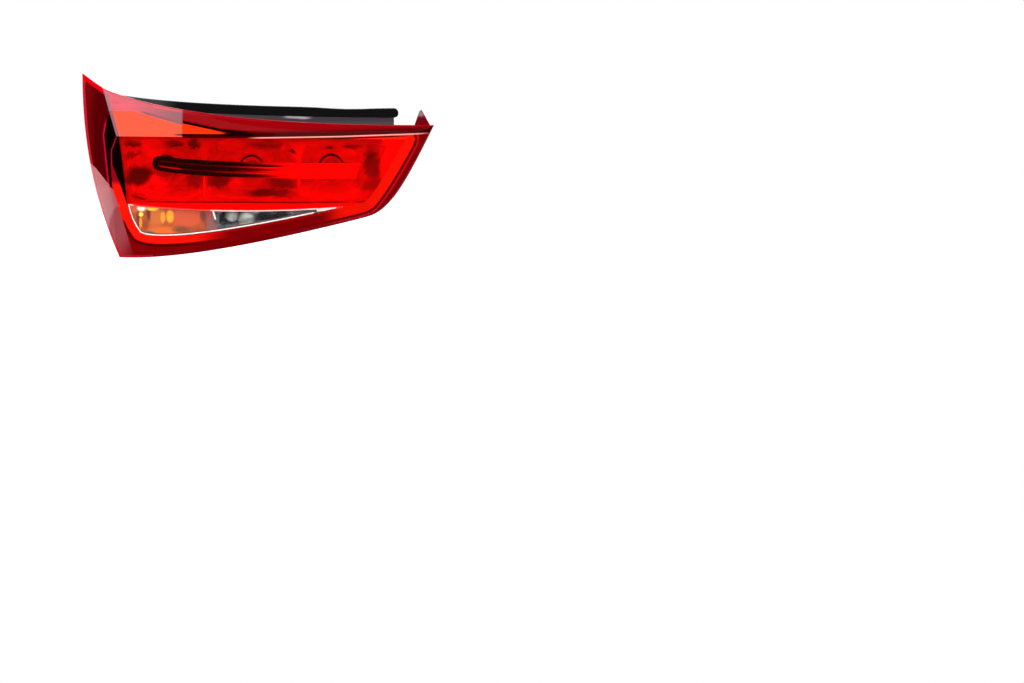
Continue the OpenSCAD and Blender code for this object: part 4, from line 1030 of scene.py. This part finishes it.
def paper_floor(x, z):
    """A floor of pale paper below a point, which keeps the shadow."""
    bpy.ops.object.select_all(action="DESELECT")
    bpy.ops.mesh.primitive_plane_add(size=FLOOR_SIZE, location=(x, FLOOR_BEHIND, z - FLOOR_BELOW))
    floor = bpy.context.object
    floor.name = "paper_floor"
    bpy.ops.object.transform_apply(location=True, rotation=True, scale=True)
    mat, tree = new_material("paper_floor_matt_white")
    path = add(tree, "LightPath")
    paper = add(tree, "BsdfDiffuse", {"Color": linear("#f4f4f4")})
    glow = add(tree, "Emission", {"Color": linear("#ffffff"), "Strength": FLOOR_GLOW})
    lit = add(tree, "AddShader", [paper, glow])
    mix = add(tree, "MixShader", [path.outputs["Is Camera Ray"], paper, lit])
    floor.data.materials.append(finished(mat, mix))
    floor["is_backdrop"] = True


def studio_world(studio):
    """A world that is white to the eye and soft on matt surfaces, while gloss and glass show a white
    wall behind the lamp and a dark room in front."""
    world = bpy.data.worlds.new("studio")
    world.use_nodes = True
    tree = world.node_tree
    tree.nodes.clear()
    path = add(tree, "LightPath").outputs
    shown = add(tree, "Math", [path["Is Glossy Ray"], path["Is Transmission Ray"]], operation="MAXIMUM")
    way = parted(tree, add(tree, "TexCoord").outputs["Generated"])
    behind = share(tree, way["Y"], 0.5, 0.9)
    through = product(tree, path["Is Transmission Ray"], studio.through)
    wall = add(tree, "Math", [through, studio.room], operation="MAXIMUM")
    wall = add(tree, "Math", [behind, wall], operation="MAXIMUM")
    soft, room, white = (
        add(tree, "Background", {"Color": linear("#ffffff"), "Strength": strength})
        for strength in (studio.ambient, wall, 1)
    )
    mix = add(tree, "MixShader", [shown, soft, room])
    mix = add(tree, "MixShader", [path["Is Camera Ray"], mix, white])
    add(tree, "OutputWorld", {"Surface": mix})
    return world


def studio_camera(studio):
    """A camera with a long lens, in front of the lamp and a little above it."""
    data = bpy.data.cameras.new("camera")
    data.lens = studio.lens_mm
    data.sensor_width = SENSOR_MM
    data.clip_end = 60
    cam = bpy.data.objects.new("camera", data)
    rise, turn = studio.elevation, studio.azimuth
    back = Vector((math.sin(turn) * math.cos(rise), -math.cos(turn) * math.cos(rise), math.sin(rise)))
    cam.location = CORNER + LAMP_MIDDLE * MM + back * studio.distance
    # It is turned off the lamp, whose middle stands left of the picture's middle and above it
    pixels = studio.lens_mm / SENSOR_MM * PICTURE_SIZE[0]
    off = [(at - size / 2) / pixels for at, size in zip(PICTURE_MIDDLE, PICTURE_SIZE)]
    turned = Vector((off[0], -off[1], -1)).normalized().rotation_difference(Vector((0, 0, -1)))
    cam.rotation_mode = "QUATERNION"
    cam.rotation_quaternion = (-back).to_track_quat("-Z", "Y") @ turned
    return cam


class TAILLIGHT_OT_stage(bpy.types.Operator):
    """Make the floor, the studio light and the camera"""
    bl_idname = "taillight.stage"
    bl_label = "Stage"

    def execute(self, context):
        scene = bpy.context.scene
        studio = scene.taillight_studio
        low, high = (Vector(v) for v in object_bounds())
        centre = (low + high) / 2
        paper_floor(centre.x, low.z)
        scene.world = studio_world(studio)
        for name in SOFTBOXES:
            softbox(name, centre, getattr(studio, name + "_power"))
        cam = studio_camera(studio)
        scene.collection.objects.link(cam)
        scene.camera = cam
        scene.view_settings.view_transform = "Standard"
        return {"FINISHED"}


def colour_property(name, description, code):
    """A colour for the sidebar, from its sRGB hex value."""
    return FloatVectorProperty(
        name=name, description=description, subtype="COLOR", size=3, min=0, max=1, default=linear(code)[:3]
    )


def share_property(name, description, default):
    """A strength from 0 to 1 for the sidebar."""
    return FloatProperty(
        name=name, description=description, default=default, min=0, max=1, subtype="FACTOR",
    )


class TailLightColours(bpy.types.PropertyGroup):
    pane: colour_property("Pane", "Red acrylic of the raised pane", "#ff3824")
    clear: colour_property("Clear pane", "Clear acrylic over the lower wedge", "#fcfcfc")
    frame: colour_property("Frame", "Red acrylic welded over the black housing", "#8a0206")
    # Shoulder and flank are the frame's red painted lit and shaded: orange as a painted reflection, dark
    # wine as painted shade
    shoulder: colour_property("Shoulder", "Frame above the pane, over the stop chamber", "#ff3c0c")
    flank: colour_property("Flank", "Frame where it wraps round the corner", "#4a0003")
    amber: colour_property("Turn filter", "Amber polycarbonate of the turn chamber", "#b4500a")
    housing: colour_property("Housing", "Moulded rear shell", "#343136")
    carrier: colour_property("Bulb carrier", "Moulded plate that holds the bulbs", "#d6d2c6")
    contacts: colour_property("Contacts", "Tinned strips on the carrier", "#d2c49a")
    fixings: colour_property("Fixings", "Zinc plated studs and screws", "#c4c6c8")
    rubber: colour_property("Seals", "Cellular rubber of the seals", "#060607")


def size_property(name, description, default, smallest):
    """A size in millimetres for the sidebar."""
    return FloatProperty(name=name, description=description + " in mm", default=default, min=smallest)


def power_property(name, description, default):
    """A lamp's power for the sidebar."""
    return FloatProperty(name=name, description=description, default=default, min=0, unit="POWER")


def angle_property(name, description, degrees):
    """An angle for the sidebar."""
    return FloatProperty(name=name, description=description, default=math.radians(degrees), subtype="ANGLE")


class TailLightSizes(bpy.types.PropertyGroup):
    skin_levels: IntProperty(
        name="Lens levels", description="Subdivision levels of the lens skins", default=1, min=0, max=2,
    )
    grain_mm: size_property("Grain", "Grain of the moulded plastics", 0.9, 0.1)
    pore_mm: size_property("Pores", "Pore size of the cellular rubber", 0.8, 0.1)
    flute_mm: size_property("Flutes", "Spacing of the flutes in the turn filter", 2.6, 0.5)
    pitch_mm: size_property("Thread", "Thread pitch of the studs", 1, 0.3)


class TailLightStudio(bpy.types.PropertyGroup):
    ambient: share_property("Ambient", "Strength of the soft surrounding light", 0.35)
    room: share_property("Room", "Strength of the room in polished surfaces", 0.05)
    through: share_property("Through", "Strength of the room seen through clear plastic", 0.95)
    front_power: power_property("Front", "Power of the front softbox", 105)
    fill_power: power_property("Fill", "Power of the low front softbox", 28)
    low_power: power_property("Low", "Power of the low left softbox", 4)
    right_power: power_property("Right", "Power of the right softbox", 18)
    back_power: power_property("Back", "Power of the back softbox", 40)
    lens_mm: FloatProperty(
        name="Lens", description="Focal length of the camera", default=170, min=1, unit="CAMERA",
    )
    distance: FloatProperty(
        name="Distance", description="Distance of the camera", default=5.52, min=0.5, unit="LENGTH",
    )
    elevation: angle_property("Elevation", "Rise of the camera", 5)
    azimuth: angle_property("Azimuth", "Turn of the camera", 0)


GROUPS = {
    "taillight_colours": TailLightColours,
    "taillight_sizes": TailLightSizes,
    "taillight_studio": TailLightStudio,
}

OPERATORS = (
    TAILLIGHT_OT_red_lens,
    TAILLIGHT_OT_clear_lens,
    TAILLIGHT_OT_inner_parts,
    TAILLIGHT_OT_bulbs,
    TAILLIGHT_OT_back_parts,
    TAILLIGHT_OT_stage,
)


class TAILLIGHT_PT_sidebar(bpy.types.Panel):
    bl_idname = "TAILLIGHT_PT_sidebar"
    bl_label = "Tail light"
    bl_space_type = "VIEW_3D"
    bl_region_type = "UI"
    bl_category = "Tail Light"

    def draw(self, context):
        for name, kind in GROUPS.items():
            box = self.layout.box()
            for setting in kind.__annotations__:
                box.prop(getattr(context.scene, name), setting)
        for operator in OPERATORS:
            self.layout.operator(operator.bl_idname)


CLASSES = (*GROUPS.values(), *OPERATORS, TAILLIGHT_PT_sidebar)


def register():
    for cls in CLASSES:
        bpy.utils.register_class(cls)
    for name, kind in GROUPS.items():
        setattr(bpy.types.Scene, name, PointerProperty(type=kind))


def unregister():
    for name in GROUPS:
        delattr(bpy.types.Scene, name)
    for cls in reversed(CLASSES):
        bpy.utils.unregister_class(cls)


def main():
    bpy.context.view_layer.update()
    register()
    for operator in OPERATORS:
        group, name = operator.bl_idname.split(".")
        getattr(getattr(bpy.ops, group), name)()
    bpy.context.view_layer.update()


if __name__ == "__main__":
    main()
